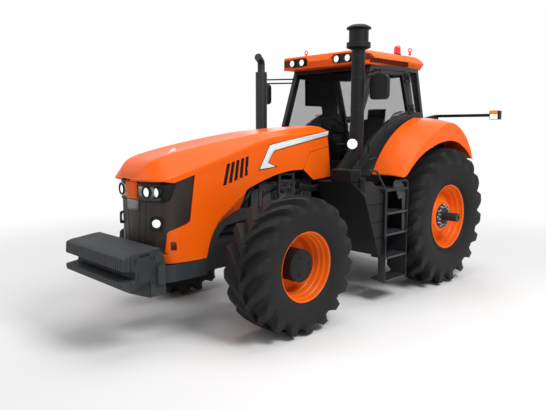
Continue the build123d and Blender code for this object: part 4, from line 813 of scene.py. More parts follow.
# hood: a top surface from crease to crease, and a side band that bows round the nose
hoodValues = {
    "rear": 0.056, "tip": -2.800, "thickness": 0.008, "low": 0.870,
    "visorRear": -2.460, "visorHalf": 0.476, "visorPower": 2.75,
    # columns: y, middle height, shoulder height, crease height, shoulder half, crease half
    "stations": [(-2.800, 1.803, 1.802, 1.800, 0.00, 0.00),
        (-2.775, 1.864, 1.862, 1.800, 0.13, 0.27), (-2.735, 1.917, 1.914, 1.800, 0.20, 0.375),
        (-2.680, 1.966, 1.964, 1.799, 0.24, 0.435), (-2.600, 2.008, 2.012, 1.802, 0.27, 0.468),
        (-2.460, 2.042, 2.054, 1.838, 0.285, 0.476), (-2.226, 2.085, 2.106, 1.902, 0.292, 0.474),
        (-1.838, 2.158, 2.180, 2.004, 0.298, 0.470), (-1.260, 2.254, 2.268, 2.186, 0.300, 0.462),
        (-0.817, 2.314, 2.319, 2.256, 0.300, 0.458), (-0.243, 2.362, 2.358, 2.295, 0.300, 0.454),
        (0.056, 2.385, 2.368, 2.312, 0.300, 0.450)],
    # side view of what belongs to the hood's sides, below the crease
    "sideOutline": [(-3.1, 0.870), (-2.069, 0.870), (-2.046, 0.960), (-2.019, 1.057),
        (-1.975, 1.160), (-1.922, 1.252), (-1.835, 1.335), (-1.727, 1.415), (-1.600, 1.512),
        (-1.448, 1.609), (-1.389, 1.638), (-1.180, 1.706), (-0.954, 1.766), (-0.800, 1.793),
        (-0.651, 1.808), (-0.540, 1.810), (-0.450, 1.806), (-0.425, 1.825), (-0.298, 2.030),
        (-0.270, 2.044), (0.088, 2.111), (0.056, 2.330), (0.056, 2.80), (-3.1, 2.80)],
    "grilleOutline": [(-3.1, 1.788), (-2.600, 1.788), (-2.544, 1.804), (-2.300, 1.872),
        (-2.262, 1.882), (-2.238, 1.876), (-2.218, 1.852), (-2.222, 1.830), (-2.290, 1.335),
        (-2.300, 1.320), (-2.330, 1.300), (-2.550, 1.238), (-2.572, 1.215), (-2.590, 1.000),
        (-3.1, 1.000)],
    "louvreOutline": [(-1.744, 1.952), (-1.725, 1.966), (-1.410, 2.036), (-1.393, 2.030),
        (-1.421, 1.785), (-1.432, 1.766), (-1.800, 1.662), (-1.814, 1.672)],
    # half of the nose in plan, from the rear to the middle: x, y
    "plan": [(0.470, 0.138), (0.470, -1.0), (0.470, -2.0), (0.470, -2.285), (0.466, -2.445),
        (0.456, -2.520), (0.428, -2.580), (0.385, -2.620), (0.3384, -2.687), (0.2115, -2.723),
        (0.0, -2.745)],
    "half": 0.470,
    # how far the top's edge drops below the crease, by y
    "drop": ((-2.86, -2.62, -2.50), (0.012, 0.014, 0.060)),
    # louvre slots: lower end and its step, upper end and its step, half width
    "slots": ((-1.790, 1.690), (0.0845, 0.0235), (-1.727, 1.945), (0.0735, 0.0175),
        (0.0265, 0.005)),
    "slotCount": 5, "backing": (0.435, 0.445),
    # top: gap at the tip, sections, how they crowd, places on the shoulder and the crown, bulge
    "tipGap": 0.0015, "sections": 110, "crowd": 1.9, "shoulderSteps": (0.16, 0.5, 0.84),
    "crownSteps": (0.16, 0.4, 0.7, 1.0), "bulge": 0.010,
    # band: place behind which it reaches the crease, its height ahead of it and its gap behind
    "bandTop": (-2.56, 1.792, 0.045),
    # the sides lean over this height; the lower edge tucks in by this much, by height and by y
    "lean": (1.3, 0.5), "tuck": 0.020, "tuckHeight": (1.15, 0.28), "tuckRun": (-2.2, 0.4),
}


def planCurve(count):
    # the nose from the rear left to the rear right: straight sides, round corners, a bowed front
    line = np.array(hoodValues["plan"])
    return evenLine(easeLine(np.concatenate([line, (line * (-1, 1))[::-1][1:]]), 3), count)


def hoodStation(y):
    # every column of the stations at the given places, with the table's corners cut three times
    table = easeLine(hoodValues["stations"], 3)
    return np.stack([np.interp(y, table[:, 0], table[:, k]) for k in range(1, 6)])


def hoodTopShape():
    # sections across the hood at stations that crowd towards the nose; each is a control line of
    # side, crease, shoulder and crowned middle with its corners cut; the visor's plan is the
    # superellipse x^n + y^n = 1
    v, power = hoodValues, hoodValues["visorPower"]
    tip = v["tip"] + v["tipGap"]
    y = tip + (v["rear"] - tip) * np.linspace(0, 1, v["sections"]) ** v["crowd"]
    middle, shoulder, crease, shoulderHalf, half = hoodStation(y)
    ahead = np.clip((v["visorRear"] - y) / (v["visorRear"] - v["tip"]), 0, 1)
    half = np.where(ahead > 0, v["visorHalf"] * (1 - ahead ** power) ** (1 / power), half)
    drop = np.interp(y, *v["drop"])
    lines = [(half, crease - drop), (half, crease - drop * 0.5), (half, crease + 0.004)]
    for t in v["shoulderSteps"]:
        rise = crease + (shoulder - crease) * t + v["bulge"] * t * (1 - t)
        lines.append((half + (shoulderHalf - half) * t, rise))
    lines.append((shoulderHalf, shoulder))
    for t in v["crownSteps"]:
        rise = shoulder + (middle - shoulder) * (1 - (1 - t) ** 2)
        lines.append((shoulderHalf * (1 - t), rise))
    x, z = [np.stack(values) for values in zip(*lines)]
    x = np.concatenate([x, -x[::-1][1:]])
    z = np.concatenate([z, z[::-1][1:]])
    eased = easeLine(np.stack([x, z], -1).reshape(len(x), -1), 2).reshape(-1, len(y), 2)
    points = np.stack([eased[..., 0], np.broadcast_to(y, eased.shape[:2]), eased[..., 1]], -1)
    return gridShape(points.transpose(1, 0, 2))


def leanShare(z):
    low, height = hoodValues["lean"]
    return np.clip((z - low) / height, 0, 1)


def hoodSideShape():
    # the band below the crease: one plan line carried from the lower edge up to the crease height
    v = hoodValues
    plan = planCurve(260)
    table = np.array(v["stations"])
    crease, halfTop = [np.interp(plan[:, 1], table[:, 0], table[:, k]) for k in (3, 5)]
    start, level, gap = v["bandTop"]
    top = np.where(plan[:, 1] < start, np.minimum(crease, level), crease - gap)
    z = v["low"] + (top - v["low"]) * np.linspace(0, 1, 22)[:, None]
    lean = np.where(plan[:, 1] > -2.55, halfTop - v["half"], 0.0) * leanShare(z)
    (high, deep), (rear, run) = v["tuckHeight"], v["tuckRun"]
    tuck = v["tuck"] * np.clip((high - z) / deep, 0, 1) ** 2
    tuck = tuck * np.clip((rear - plan[:, 1]) / run, 0, 1)
    x = plan[:, 0] + np.sign(plan[:, 0]) * (lean - tuck)
    return gridShape(np.stack([x, plan[:, 1] + tuck * 1.5, z], -1)[::-1])


def louvreSlots():
    # slanted slots between the slats, set out along the recess's lower edge
    v = hoodValues
    first, step, upper, upperStep, wide = [np.array(value) for value in v["slots"]]
    slots = []
    for k in range(v["slotCount"]):
        low, high = first + step * k, upper + upperStep * k
        slots.append([tuple(low - wide), tuple(low + wide), tuple(high + wide), tuple(high - wide)])
    return slots


def makeHoodSkin(name, shape, cutters, both=None):
    skin = makePiece(name, [shape], "orangePaint", "hood", sharp=30)
    applyModifiers(addWall(skin, hoodValues["thickness"]))
    if both:
        cutPiece(skin, [both], "INTERSECT")
    cutPiece(skin, cutters)
    smoothMesh(skin.data, 30)
    return skin


def makeHood():
    v = hoodValues
    whole = meshCutter("sideCutter", prismShape(v["sideOutline"], 0, -0.8, 0.8))
    openings = [meshCutter("grilleCutter", prismShape(v["grilleOutline"], 0, -0.8, 0.8))]
    for k, slot in enumerate(louvreSlots()):
        openings.append(meshCutter(f"slotCutter{k}", prismShape(slot, 0, 0.3, 0.8)))
        openings.append(meshCutter(f"slotCutterFar{k}", prismShape(slot, 0, -0.8, -0.3)))
    side = makeHoodSkin("hoodSides", hoodSideShape(), openings, whole)
    top = makeHoodSkin("hoodTop", hoodTopShape(), [])
    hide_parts("hood_shell")
    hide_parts("hood_shell")
    backing = prismShape(v["louvreOutline"], 0, *v["backing"])
    makePiece("louvreBacking", bothSides([backing]), body="hood")


makeHood()
print("stage: hood")


# the nose's parts are placed by their distance round its plan line from the middle, and by height
def noseLine():
    plan = planCurve(801)[::-1]
    half = plan[len(plan) // 2:]
    half[:, 0] = np.abs(half[:, 0])
    return runLength(half), half


noseRun, nosePlan = noseLine()


def noseSpot(run, out):
    # place and outward shift at a distance along the plan line; negative ones are the right side
    size = np.abs(run)
    x, y = [np.interp(size, noseRun, column) for column in nosePlan.T]
    dx, dy = [np.interp(size + 0.004, noseRun, column)
              - np.interp(np.maximum(size - 0.004, 0), noseRun, column) for column in nosePlan.T]
    length = np.hypot(dx, dy)
    return np.sign(run) * (x + dy / length * out), y - dx / length * out


def nosePanel(run, low, high, out, rows=2):
    # a sheet on the nose: run, low and high have a value for each column or one for all,
    # and out is one value or a function of run and height
    run, low, high = np.broadcast_arrays(*[np.asarray(a, float) for a in (run, low, high)])
    z = low + (high - low) * np.linspace(0, 1, rows)[:, None]
    lane = np.broadcast_to(run, z.shape)
    x, y = noseSpot(lane, out(lane, z) if callable(out) else np.full(z.shape, out))
    return gridShape(np.stack([x, y, z], -1))


noseValues = {
    "grille": {"low": 0.985, "inset": -0.0105, "depth": 0.010,
        "folds": ((0.085, 0.055), (0.205, 0.035))},
    "band": {"start": 0.119, "end": 0.432, "low": 1.574, "high": 1.754, "inset": 0.001},
    # columns: distance from the middle, height, radius
    "lamps": [(0.262, 1.665, 0.055), (0.384, 1.665, 0.055)],
    "fog": {"run": 0.372, "z": 1.325, "radius": 0.046},
    # the lamps' dark end: distance from the middle, lower edge, upper edge
    "bezelEnd": [(0.428, 1.558, 1.790), (0.470, 1.560, 1.790), (0.505, 1.566, 1.790),
        (0.530, 1.590, 1.790), (0.560, 1.655, 1.793), (0.590, 1.735, 1.797), (0.610, 1.788, 1.800)],
    "block": {"top": 0.123, "foot": 0.112, "low": 1.578, "high": 1.798, "out": 0.006},
    "mesh": {"top": 0.124, "foot": 0.106, "low": 1.452, "high": 1.574},
    "stripe": [(-1.229, 1.848), (-1.075, 2.105), (-1.050, 2.135), (-1.010, 2.152), (0.052, 2.318),
        (0.052, 2.256), (-0.950, 2.080), (-0.985, 2.066), (-1.010, 2.040), (-1.088, 1.921),
        (-0.954, 1.875)],
    # grille: distances from the middle and the upper edge there
    "grilleTop": ([0, 0.56, 0.62, 0.89], [1.786, 1.786, 1.800, 1.884]), "grilleEnd": 0.89,
    "bezelRows": ((1.556, 1.574), (1.754, 1.790)), "lampFace": (0.12, -0.993, 0.0),
    # ring round a lamp: distance forwards, radius over the lamp's
    "ring": [(-0.02, 0.012), (0.022, 0.012), (0.026, 0.008), (0.024, 0), (0.004, -0.012),
        (-0.002, -0.016)],
    "fogOutline": [(-0.076, -0.070), (0.066, -0.078), (0.076, 0.072), (-0.070, 0.070)],
    # rings of the fog lamp's surround: share of the outline, distance forwards
    "fogRings": ((1.0, 0.0), (1.0, 0.020), (0.93, 0.028), (0.80, 0.028), (0.72, 0.016),
        (0.66, 0.010)),
    "blockRows": (0, 0.02, 0.05, 0.15, 0.4, 0.7, 1.0),
    "fin": [(-2.360, 2.050), (-2.335, 2.075), (-2.262, 2.134), (-2.240, 2.126), (-2.228, 2.080)],
}


def grilleFold(run, z):
    v = noseValues["grille"]
    shift = np.full(run.shape, v["inset"])
    for start, lean in v["folds"]:
        line = start + lean * (z - 1.0) / 0.56
        shift = shift - v["depth"] * np.clip(1 - np.abs(np.abs(run) - line) / 0.010, 0, 1)
    return shift


def lampPlace(run, z, out):
    x, y = noseSpot(np.array([run]), np.array([out]))
    return np.array([x[0], y[0], z])


def lampNormal(run):
    return (lampPlace(run, 0.0, 0.1) - lampPlace(run, 0.0, 0.0)) * 10


def makeLampEdges():
    # the dark frame above, below and at the end of the lamp band
    v = noseValues
    lane = np.linspace(v["band"]["start"] - 0.004, v["band"]["end"] + 0.02, 26)
    bezel = [nosePanel(lane, low, high, 0.004) for low, high in v["bezelRows"]]
    end = easeLine(v["bezelEnd"], 2)
    return bezel + [nosePanel(end[:, 0], end[:, 1], end[:, 2], 0.006, 4)]


def fogSurround(center, ahead):
    across = np.cross((0, 0, 1), ahead)
    outline = roundedOutline(noseValues["fogOutline"], 0.022)
    flat = outline[:, :1] * across + outline[:, 1:] * np.array((0, 0, 1))
    rings = [center + ahead * out + flat * grow for grow, out in noseValues["fogRings"]]
    points, faces = gridShape(np.array(rings), closeV=True)
    return points, faces + capFaces(len(outline), len(points) - len(outline))[1:]


def makeNose():
    v = noseValues
    run = np.unique(np.concatenate([np.linspace(-v["grilleEnd"], v["grilleEnd"], 240), [0.0]]))
    high = np.interp(np.abs(run), *v["grilleTop"])
    sheet = nosePanel(run, v["grille"]["low"], high, grilleFold, 40)
    grille = addWall(makePiece("grillePanel", [sheet], "grilleMesh", "hood"), 0.006)
    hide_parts("grille")
    b, f = v["band"], v["fog"]
    band = nosePanel(np.linspace(b["start"], b["end"], 24), b["low"], b["high"], b["inset"])
    trim, lens = [], []
    for place, z, radius in v["lamps"]:
        center = lampPlace(place, z, -0.006)
        ring = [(out, radius + grow) for out, grow in v["ring"]] + [(-0.02, 0)]
        trim.append(latheShape(ring, center, v["lampFace"]))
        lens.append(latheShape(domeProfile(0.004, 0.018, radius - 0.002), center, v["lampFace"]))
    center, ahead = lampPlace(f["run"], f["z"], -0.012), lampNormal(f["run"])
    lens.append(latheShape(domeProfile(0.008, 0.016, f["radius"]), center, ahead))
    strip = addWall(makePiece("lampBand", bothSides([band]), "lampGrey", "hood"), 0.004)
    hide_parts("lamp_band")
    edge = addWall(makePiece("lampBezels", bothSides(makeLampEdges()), body="hood"), 0.012)
    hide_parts("lamp_band")
    makePiece("lampRings", bothSides(trim), body="hood")
    makePiece("fogBezels", bothSides([fogSurround(center, ahead)]), body="hood", bevel=0.002)
    lamps = makePiece("lampLenses", bothSides(lens), "clearLens", "hood")
    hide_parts("headlamps")


def makeNoseBlock():
    # the coloured block between the lamps, and the bright mesh under it
    v = noseValues["block"]
    lane = np.linspace(-1, 1, 25)
    share = np.array(noseValues["blockRows"])[:, None]
    half = v["foot"] + (v["top"] - v["foot"]) * share
    z = v["low"] + (v["high"] - v["low"]) * share
    shift = v["out"] + 0.014 * np.sqrt(np.clip(share / 0.1, 0, 1)) * (1 - np.abs(lane) ** 12)
    x, y = noseSpot(lane * half, shift)
    face = gridShape(np.stack([x, y, np.broadcast_to(z, x.shape)], -1))
    block = addWall(makePiece("noseBlock", [face], "orangePaint", "hood"), 0.030)
    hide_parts("hood_shell")
    m = noseValues["mesh"]
    share = np.linspace(0, 1, 4)[:, None]
    x, y = noseSpot(lane * (m["foot"] + (m["top"] - m["foot"]) * share), 0.003)
    z = np.broadcast_to(m["low"] + (m["high"] - m["low"]) * share, x.shape)
    sheet = gridShape(np.stack([x, y, z], -1))
    addWall(makePiece("noseMesh", [sheet], "brightMesh", "hood"), 0.012)


def hoodSideX(y, z):
    table = np.array(hoodValues["stations"])
    lean = np.interp(y, table[:, 0], table[:, 5]) - hoodValues["half"]
    return hoodValues["half"] + lean * leanShare(z)


def hoodPlate(outline, lift, thickness):
    # a thin plate that follows the hood's side
    points, faces = prismShape(denseOutline(outline, 0.03), 0, 0, thickness)
    points[:, 0] += hoodSideX(points[:, 1], points[:, 2]) + lift
    return points, faces


stripeSheet = {
    "rows": 7, "step": 0.02, "tip": 0.04, "wall": 0.0015, "rollOut": 0.022,
    "rollLow": 2.20, "rollRun": 0.10, "margin": 0.009, "lifts": (0.0024, 0.0044),
}


def makeStripeSheet(outline, lift):
    # rows from the film's outer edge to its inner one; it stands further out where the hood's side
    # starts to roll over
    v = stripeSheet
    outline = np.asarray(outline, float)
    outer, inner = outline[[10, 0, 1, 2, 3, 4]], outline[[10, 9, 8, 7, 6, 5]]
    outer[0] += (outline[0] - outline[10]) * v["tip"]
    length = runLength(outer)
    where = np.unique(np.concatenate([length, np.arange(0, length[-1], v["step"])]))
    share = np.linspace(0, 1, v["rows"])[:, None]
    y, z = [np.interp(where, length, outer[:, k]) * (1 - share)
            + np.interp(where, length, inner[:, k]) * share for k in (0, 1)]
    roll = v["rollOut"] * np.clip((z - v["rollLow"]) / v["rollRun"], 0, 1)
    return gridShape(np.stack([hoodSideX(y, z) + lift + roll, y, z], -1))


def makeHoodTrim():
    v, under = stripeSheet, 0.94
    outer = makeStripeSheet(grownOutline(noseValues["stripe"], v["margin"]), v["lifts"][0])
    inner = makeStripeSheet(noseValues["stripe"], v["lifts"][1])
    slats = []
    slots = [np.array(slot) for slot in louvreSlots()]
    for a, b in zip(slots[:-1], slots[1:]):
        corners = ((a[1], b[0]), (b[0], a[1]), (b[3], a[2]), (a[2], b[3]))
        outline = [near * under + far * (1 - under) for near, far in corners]
        slats.append(hoodPlate(outline, -0.003, 0.009))
    for name, sheet, finish, slot in (("stripeEdge", outer, "satinBlack", "dark"),
                                      ("stripe", inner, "whiteFilm", "lamp")):
        addWall(makePiece(name, bothSides([sheet]), finish, "hood"), v["wall"])
    makePiece("louvreSlats", bothSides(slats), "orangePaint", "hood", bevel=0.003)
    fin = prismShape(noseValues["fin"], 0, 0.120, 0.145)
    makePiece("hoodFin", [fin], "whiteFilm", "hood", bevel=0.004)


makeNose()
makeNoseBlock()
makeHoodTrim()
print("stage: nose")


def softCopy(node, name, finish, body, slot, bevel, angle):
    # a node's mesh with doubles merged and flat triangles joined, so that its edges can be rounded
    mesh = nodes[node].data.copy()
    mesh.name = name
    form = bmesh.new()
    form.from_mesh(mesh)
    bmesh.ops.remove_doubles(form, verts=form.verts, dist=0.00005)
    flat = math.radians(1.5)
    bmesh.ops.dissolve_limit(form, angle_limit=flat, verts=form.verts, edges=form.edges)
    form.to_mesh(mesh)
    form.free()
    mesh.materials.clear()
    mesh.materials.append(materials[finish])
    smoothMesh(mesh, angle)
    obj = bpy.data.objects.new(name, mesh)
    bpy.context.scene.collection.objects.link(obj)
    addBevel(obj, bevel, angle)
    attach(obj, body)
    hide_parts(node)


# columns: CAD node, piece, finish, body, slot, edge radius, angle over which an edge is sharp
softened = [
    ("cab_roof", "roofCap", "orangePaint", "chassis", "body", 0.022, 20),
    ("cab_frame", "cabPillars", "satinBlack", "chassis", "plastic", 0.006, 24),
    ("door_frame", "doorRim", "satinBlack", "door_left", "plastic", 0.004, 24),
    ("fuel_tank", "tankBody", "blackMoulding", "chassis", "plastic", 0.012, 24),
    ("right_tank", "rightTankBody", "blackMoulding", "chassis", "plastic", 0.012, 24),
    ("tool_box", "toolBoxBody", "blackMoulding", "chassis", "plastic", 0.012, 24),
    ("front_skirt", "skirtBody", "linerGrey", "chassis", "dark", 0.008, 24),
    ("steps", "stepFrame", "satinBlack", "chassis", "dark", 0.003, 24),
    ("hood_side_panels", "baySides", "blackMoulding", "chassis", "plastic", 0.006, 24),
    ("intake_stack", "intakePipe", "blackMoulding", "chassis", "plastic", 0.004, 30),
    ("exhaust_stack", "exhaustPipe", "satinBlack", "chassis", "dark", 0.003, 30),
    ("mirrors", "mirrorHeads", "blackMoulding", "chassis", "plastic", 0.010, 30),
    ("dashboard", "consoleTrim", "blackMoulding", "chassis", "trim", 0.018, 24),
    ("width_lamps", "widthArms", "blackMoulding", "chassis", "plastic", 0.005, 30),
    ("lower_links", "linkArms", "satinBlack", "links", "dark", 0.004, 30),
    ("front_frame", "noseFrame", "castBlack", "chassis", "dark", 0.006, 24),
    ("front_axle", "axleBeam", "castBlack", "chassis", "dark", 0.008, 30),
    ("fender_strips", "fenderStrips", "stripRubber", "chassis", "plastic", 0.004, 30),
]

for row in softened:
    softCopy(*row)
print("stage: softened parts")


weightValues = {
    "plates": 28, "pitch": 0.046, "joint": 0.006, "corner": 0.016,
    "outline": [(-3.179, 1.089), (-2.909, 1.121), (-2.812, 1.127), (-2.746, 1.005), (-2.745, 0.622),
        (-2.938, 0.616), (-3.156, 0.703), (-3.245, 0.751), (-3.252, 0.816), (-3.102, 0.836),
        (-3.099, 0.914), (-3.248, 0.941), (-3.237, 1.070)],
    # pockets in the end faces: outline in the side view and depth
    "pockets": [([(-3.060, 1.052), (-3.055, 1.072), (-2.935, 1.086), (-2.935, 1.064)], 0.016),
        ([(-3.066, 0.778), (-3.066, 0.905), (-2.925, 0.925), (-2.925, 0.798)], 0.004),
        ([(-3.050, 0.660), (-3.050, 0.765), (-2.930, 0.785), (-2.930, 0.632)], 0.006),
        ([(-3.156, 0.60), (-3.156, 0.835), (-3.149, 0.835), (-3.149, 0.60)], 0.006),
        ([(-3.156, 0.93), (-3.156, 1.13), (-3.149, 1.13), (-3.149, 0.93)], 0.006),
        ([(-2.862, 0.712), (-2.862, 0.955), (-2.848, 0.955), (-2.848, 0.712)], 0.014)],
    # bolts: y, z, radius
    "bolts": [(-3.105, 1.010, 0.011), (-2.895, 1.030, 0.016), (-3.092, 0.728, 0.016),
        (-2.893, 0.768, 0.010), (-2.828, 0.958, 0.010), (-2.820, 0.722, 0.010)],
    "catch": [(-2.838, 0.738), (-2.838, 0.930), (-2.752, 0.950), (-2.752, 0.728)],
    "core": 0.62,
}


def makeWeights():
    v = weightValues
    outline = roundedOutline(v["outline"], v["corner"], 3)
    half = (v["pitch"] - v["joint"]) / 2
    places = (np.arange(1, v["plates"] - 1) - (v["plates"] - 1) / 2) * v["pitch"]
    plates = [prismShape(outline, 0, x - half, x + half) for x in places]
    core = grownOutline(grownOutline(v["outline"], -0.006), -0.006)
    plates.append(prismShape(core, 0, -v["core"], v["core"]))
    stack = makePiece("weightPlates", plates, "castBlack", "chassis", bevel=0.005)
    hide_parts("front_weights")
    end = v["plates"] * v["pitch"] / 2
    for side in (1, -1):
        shape = prismShape(outline, 0, end - v["pitch"] + v["joint"] / 2, end)
        plate = makePiece("weightEnd" + sideWord(side), [onSide(side, shape)], "castBlack",
                          "chassis", bevel=0.006)
        applyModifiers(plate)
        cutters = []
        for k, (pocket, depth) in enumerate(v["pockets"]):
            room = prismShape(pocket, 0, end - depth, end + 0.05)
            cutters.append(meshCutter(f"pocket{k}", onSide(side, room)))
        for k, (y, z, radius) in enumerate(v["bolts"]):
            profile = [(0, 0), (0, radius + 0.006), (0.05, radius + 0.006), (0.05, 0)]
            room = latheShape(profile, (end - 0.009, y, z), (1, 0, 0), 24)
            cutters.append(meshCutter(f"boltRoom{k}", onSide(side, room)))
        cutPiece(plate, cutters)
        plate.data.set_sharp_from_angle(angle=math.radians(30))
        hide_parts("front_weights")
    fittings = [discShape((end - 0.010, y, z), (1, 0, 0), radius, 0.008, 0.002, 20)
                for y, z, radius in v["bolts"]]
    fittings.append(prismShape(roundedOutline(v["catch"], 0.01), 0, end - 0.004, end + 0.010))
    makePiece("weightFittings", bothSides(fittings), "castBlack", "chassis", bevel=0.003)


makeWeights()
print("stage: weights")


wheelValues = {
    # rim section: distance outboard of the tyre's middle, radius; clockwise from the outer lip
    "frontRim": [(0.252, 0.404), (0.249, 0.398), (0.243, 0.391), (0.232, 0.386), (0.190, 0.383),
        (0.184, 0.380), (0.178, 0.369), (0.172, 0.366), (0.128, 0.363), (0.122, 0.360),
        (0.116, 0.349), (0.110, 0.346), (0.060, 0.342), (0.053, 0.339), (0.046, 0.328),
        (0.040, 0.325), (-0.040, 0.316), (-0.066, 0.300), (-0.074, 0.27), (-0.075, 0.180),
        (-0.091, 0.180), (-0.092, 0.31), (-0.098, 0.336), (-0.236, 0.378), (-0.246, 0.392),
        (-0.252, 0.404), (-0.250, 0.407), (-0.244, 0.405), (-0.235, 0.391), (-0.11, 0.391),
        (-0.08, 0.349), (0.08, 0.349), (0.128, 0.375), (0.15, 0.391), (0.235, 0.391),
        (0.244, 0.405), (0.250, 0.407)],
    "rearRim": [(0.290, 0.476), (0.288, 0.470), (0.280, 0.462), (0.268, 0.457), (0.226, 0.452),
        (0.218, 0.449), (0.211, 0.438), (0.204, 0.434), (0.150, 0.428), (0.142, 0.425),
        (0.135, 0.416), (0.128, 0.412), (0.072, 0.404), (0.064, 0.398), (0.066, 0.386),
        (0.078, 0.37), (0.150, 0.268), (0.166, 0.250), (0.182, 0.240), (0.186, 0.228),
        (0.186, 0.10), (0.168, 0.10), (0.160, 0.22), (0.13, 0.256), (0.052, 0.372), (0.048, 0.396),
        (-0.05, 0.404), (-0.268, 0.450), (-0.284, 0.466), (-0.290, 0.476), (-0.288, 0.481),
        (-0.282, 0.479), (-0.272, 0.464), (-0.11, 0.464), (-0.08, 0.422), (0.08, 0.422),
        (0.128, 0.448), (0.15, 0.464), (0.272, 0.464), (0.282, 0.479), (0.288, 0.481)],
    "frontHub": [(-0.115, 0), (-0.115, 0.184), (-0.109, 0.190), (0.160, 0.190), (0.167, 0.187),
        (0.170, 0.180), (0.170, 0)],
    "hubBolts": {"angles": (5, 115, 245), "radius": 0.112, "size": 0.013, "depth": 0.012},
    "axle": [(-0.180, 0), (-0.180, 0.187), (0.150, 0.187), (0.184, 0.186), (0.196, 0.182),
        (0.200, 0.174), (0.200, 0.105), (0.208, 0.098), (0.212, 0.072), (0.218, 0.063),
        (0.444, 0.063), (0.450, 0.057), (0.450, 0.020), (0.430, 0.018), (0.430, 0)],
    # studs round the axle: ring radius, start angle
    "studRings": ((0.168, 0), (0.136, 15)), "studs": 12,
    "beadRidges": 4,
    "hubFace": 0.170, "axleFace": 0.200,
    # sawtooth of a bead ridge: share of its step, how far it stands out
    "ridge": ((0.0, 0.001), (0.35, 0.0065), (0.65, 0.0065), (0.95, 0.001)),
    "ridgeStep": (0.024, 0.031),
}


def makeRim(kind, side):
    v = tyreValues[kind]
    center, body = (v["x"], v["y"], v["radius"]), kind + "_wheel" + sideTail(side)
    ring = closedLathe(wheelValues[kind + "Rim"], center, 128)
    rim = makePiece(kind + "Dish" + sideWord(side), [onSide(side, ring)], "rimPaint", body,
                    sharp=50)
    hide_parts(kind + "_rim" + sideTail(side))
    return center, body


def makeFrontWheel(side):
    v = wheelValues
    center, body = makeRim("front", side)
    drum = latheShape(v["frontHub"], center, (1, 0, 0), 96)
    hub = makePiece("frontHub" + sideWord(side), [onSide(side, drum)], "blackMoulding", body,
                    sharp=40)
    bolt = v["hubBolts"]
    size, depth = bolt["size"], bolt["depth"]
    holes, heads = [], []
    for k, angle in enumerate(np.radians(bolt["angles"])):
        spot = ringSpot(center, v["hubFace"], bolt["radius"], angle)
        profile = [(-depth, 0), (-depth, size), (0.02, size), (0.02, 0)]
        hole = latheShape(profile, spot, (1, 0, 0), 20)
        holes.append(meshCutter(f"boltHole{k}", onSide(side, hole)))
        spot = ringSpot(center, v["hubFace"] - 0.0125, bolt["radius"], angle)
        heads.append(onSide(side, discShape(spot, (1, 0, 0), 0.008, 0.007, 0.002, 6)))
    cutPiece(hub, holes)
    hub.data.set_sharp_from_angle(angle=math.radians(40))
    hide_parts("front_hub" + sideTail(side))
    makePiece("hubBolts" + sideWord(side), heads, "blackMoulding", body)


def makeRearWheel(side):
    v = wheelValues
    center, body = makeRim("rear", side)
    shaft = latheShape(v["axle"], center, (1, 0, 0), 64)
    axle = makePiece("barAxle" + sideWord(side), [onSide(side, shaft)], "castBlack", body,
                     sharp=40)
    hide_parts("rear_hub" + sideTail(side))
    studs = []
    for radius, start in v["studRings"]:
        for k in range(v["studs"]):
            angle = math.radians(start + 360 / v["studs"] * k)
            spot = ringSpot(center, v["axleFace"], radius, angle)
            studs.append(onSide(side, discShape(spot, (1, 0, 0), 0.0155, 0.016, 0.003, 6)))
            studs.append(onSide(side, discShape(spot, (1, 0, 0), 0.0085, 0.034, 0.002, 12)))
    makePiece("wheelNuts" + sideWord(side), studs, "machinedSteel", body)
    # ridges on the bead: each spot is a share of the height over the rim, on the carcass there
    tyre, carcass = tyreValues["rear"], np.array(tyreValues["carcass"])
    line = []
    for k in range(v["beadRidges"]):
        for step, lift in v["ridge"]:
            share = v["ridgeStep"][0] + v["ridgeStep"][1] * (k + step)
            wide = np.interp(share, carcass[:, 1], carcass[:, 0]) * tyre["width"]
            line.append((wide + lift, tyre["flange"] + share * (tyre["radius"] - tyre["flange"])))
    band = closedLathe(line[::-1] + [(x - 0.012, r) for x, r in line], center, 128)
    makePiece("beadRidges" + sideWord(side), [onSide(side, band)], "tyreRubber", body,
              sharp=40)


for side in (1, -1):
    makeFrontWheel(side)
    makeRearWheel(side)
print("stage: wheels")


roofValues = {
    "front": 0.360, "lampZ": 3.325, "pocketMiddle": 0.4325, "pocketHalf": (0.168, 0.060),
    "pocketDepth": 0.024, "lamps": (0.531, 0.334),
    # ring round a lamp: distance forwards, radius
    "ring": [(-0.004, 0), (-0.004, 0.056), (0.014, 0.056), (0.018, 0.052), (0.016, 0.047),
        (0.006, 0.044), (0.004, 0)],
    "vent": {"y": (0.560, 1.490), "z": (3.268, 3.322), "x": 0.785, "ribs": 30},
    # lifting eyes: places, foot height and its length, ring's height, its radius and its thickness
    "eyes": [(-0.600, 0.760), (0.700, 1.670)], "eyeFoot": (3.452, 0.062),
    "eyeRing": (3.530, 0.026, 0.008),
    "rearLamp": ((0.700, 1.905, 3.335), (0.25, 1, 0), 0.052, 0.040, 0.008, 28),
    "beacon": (0.420, 1.750, 3.466),
    "beaconBase": [(-0.03, 0), (-0.03, 0.066), (0.036, 0.060), (0.042, 0.056), (0.042, 0)],
    # beacon's dome: start, height where it rounds in, its depth there, its radius and its top
    "dome": (0.040, 0.122, 0.045, 0.053, 0.167),
}


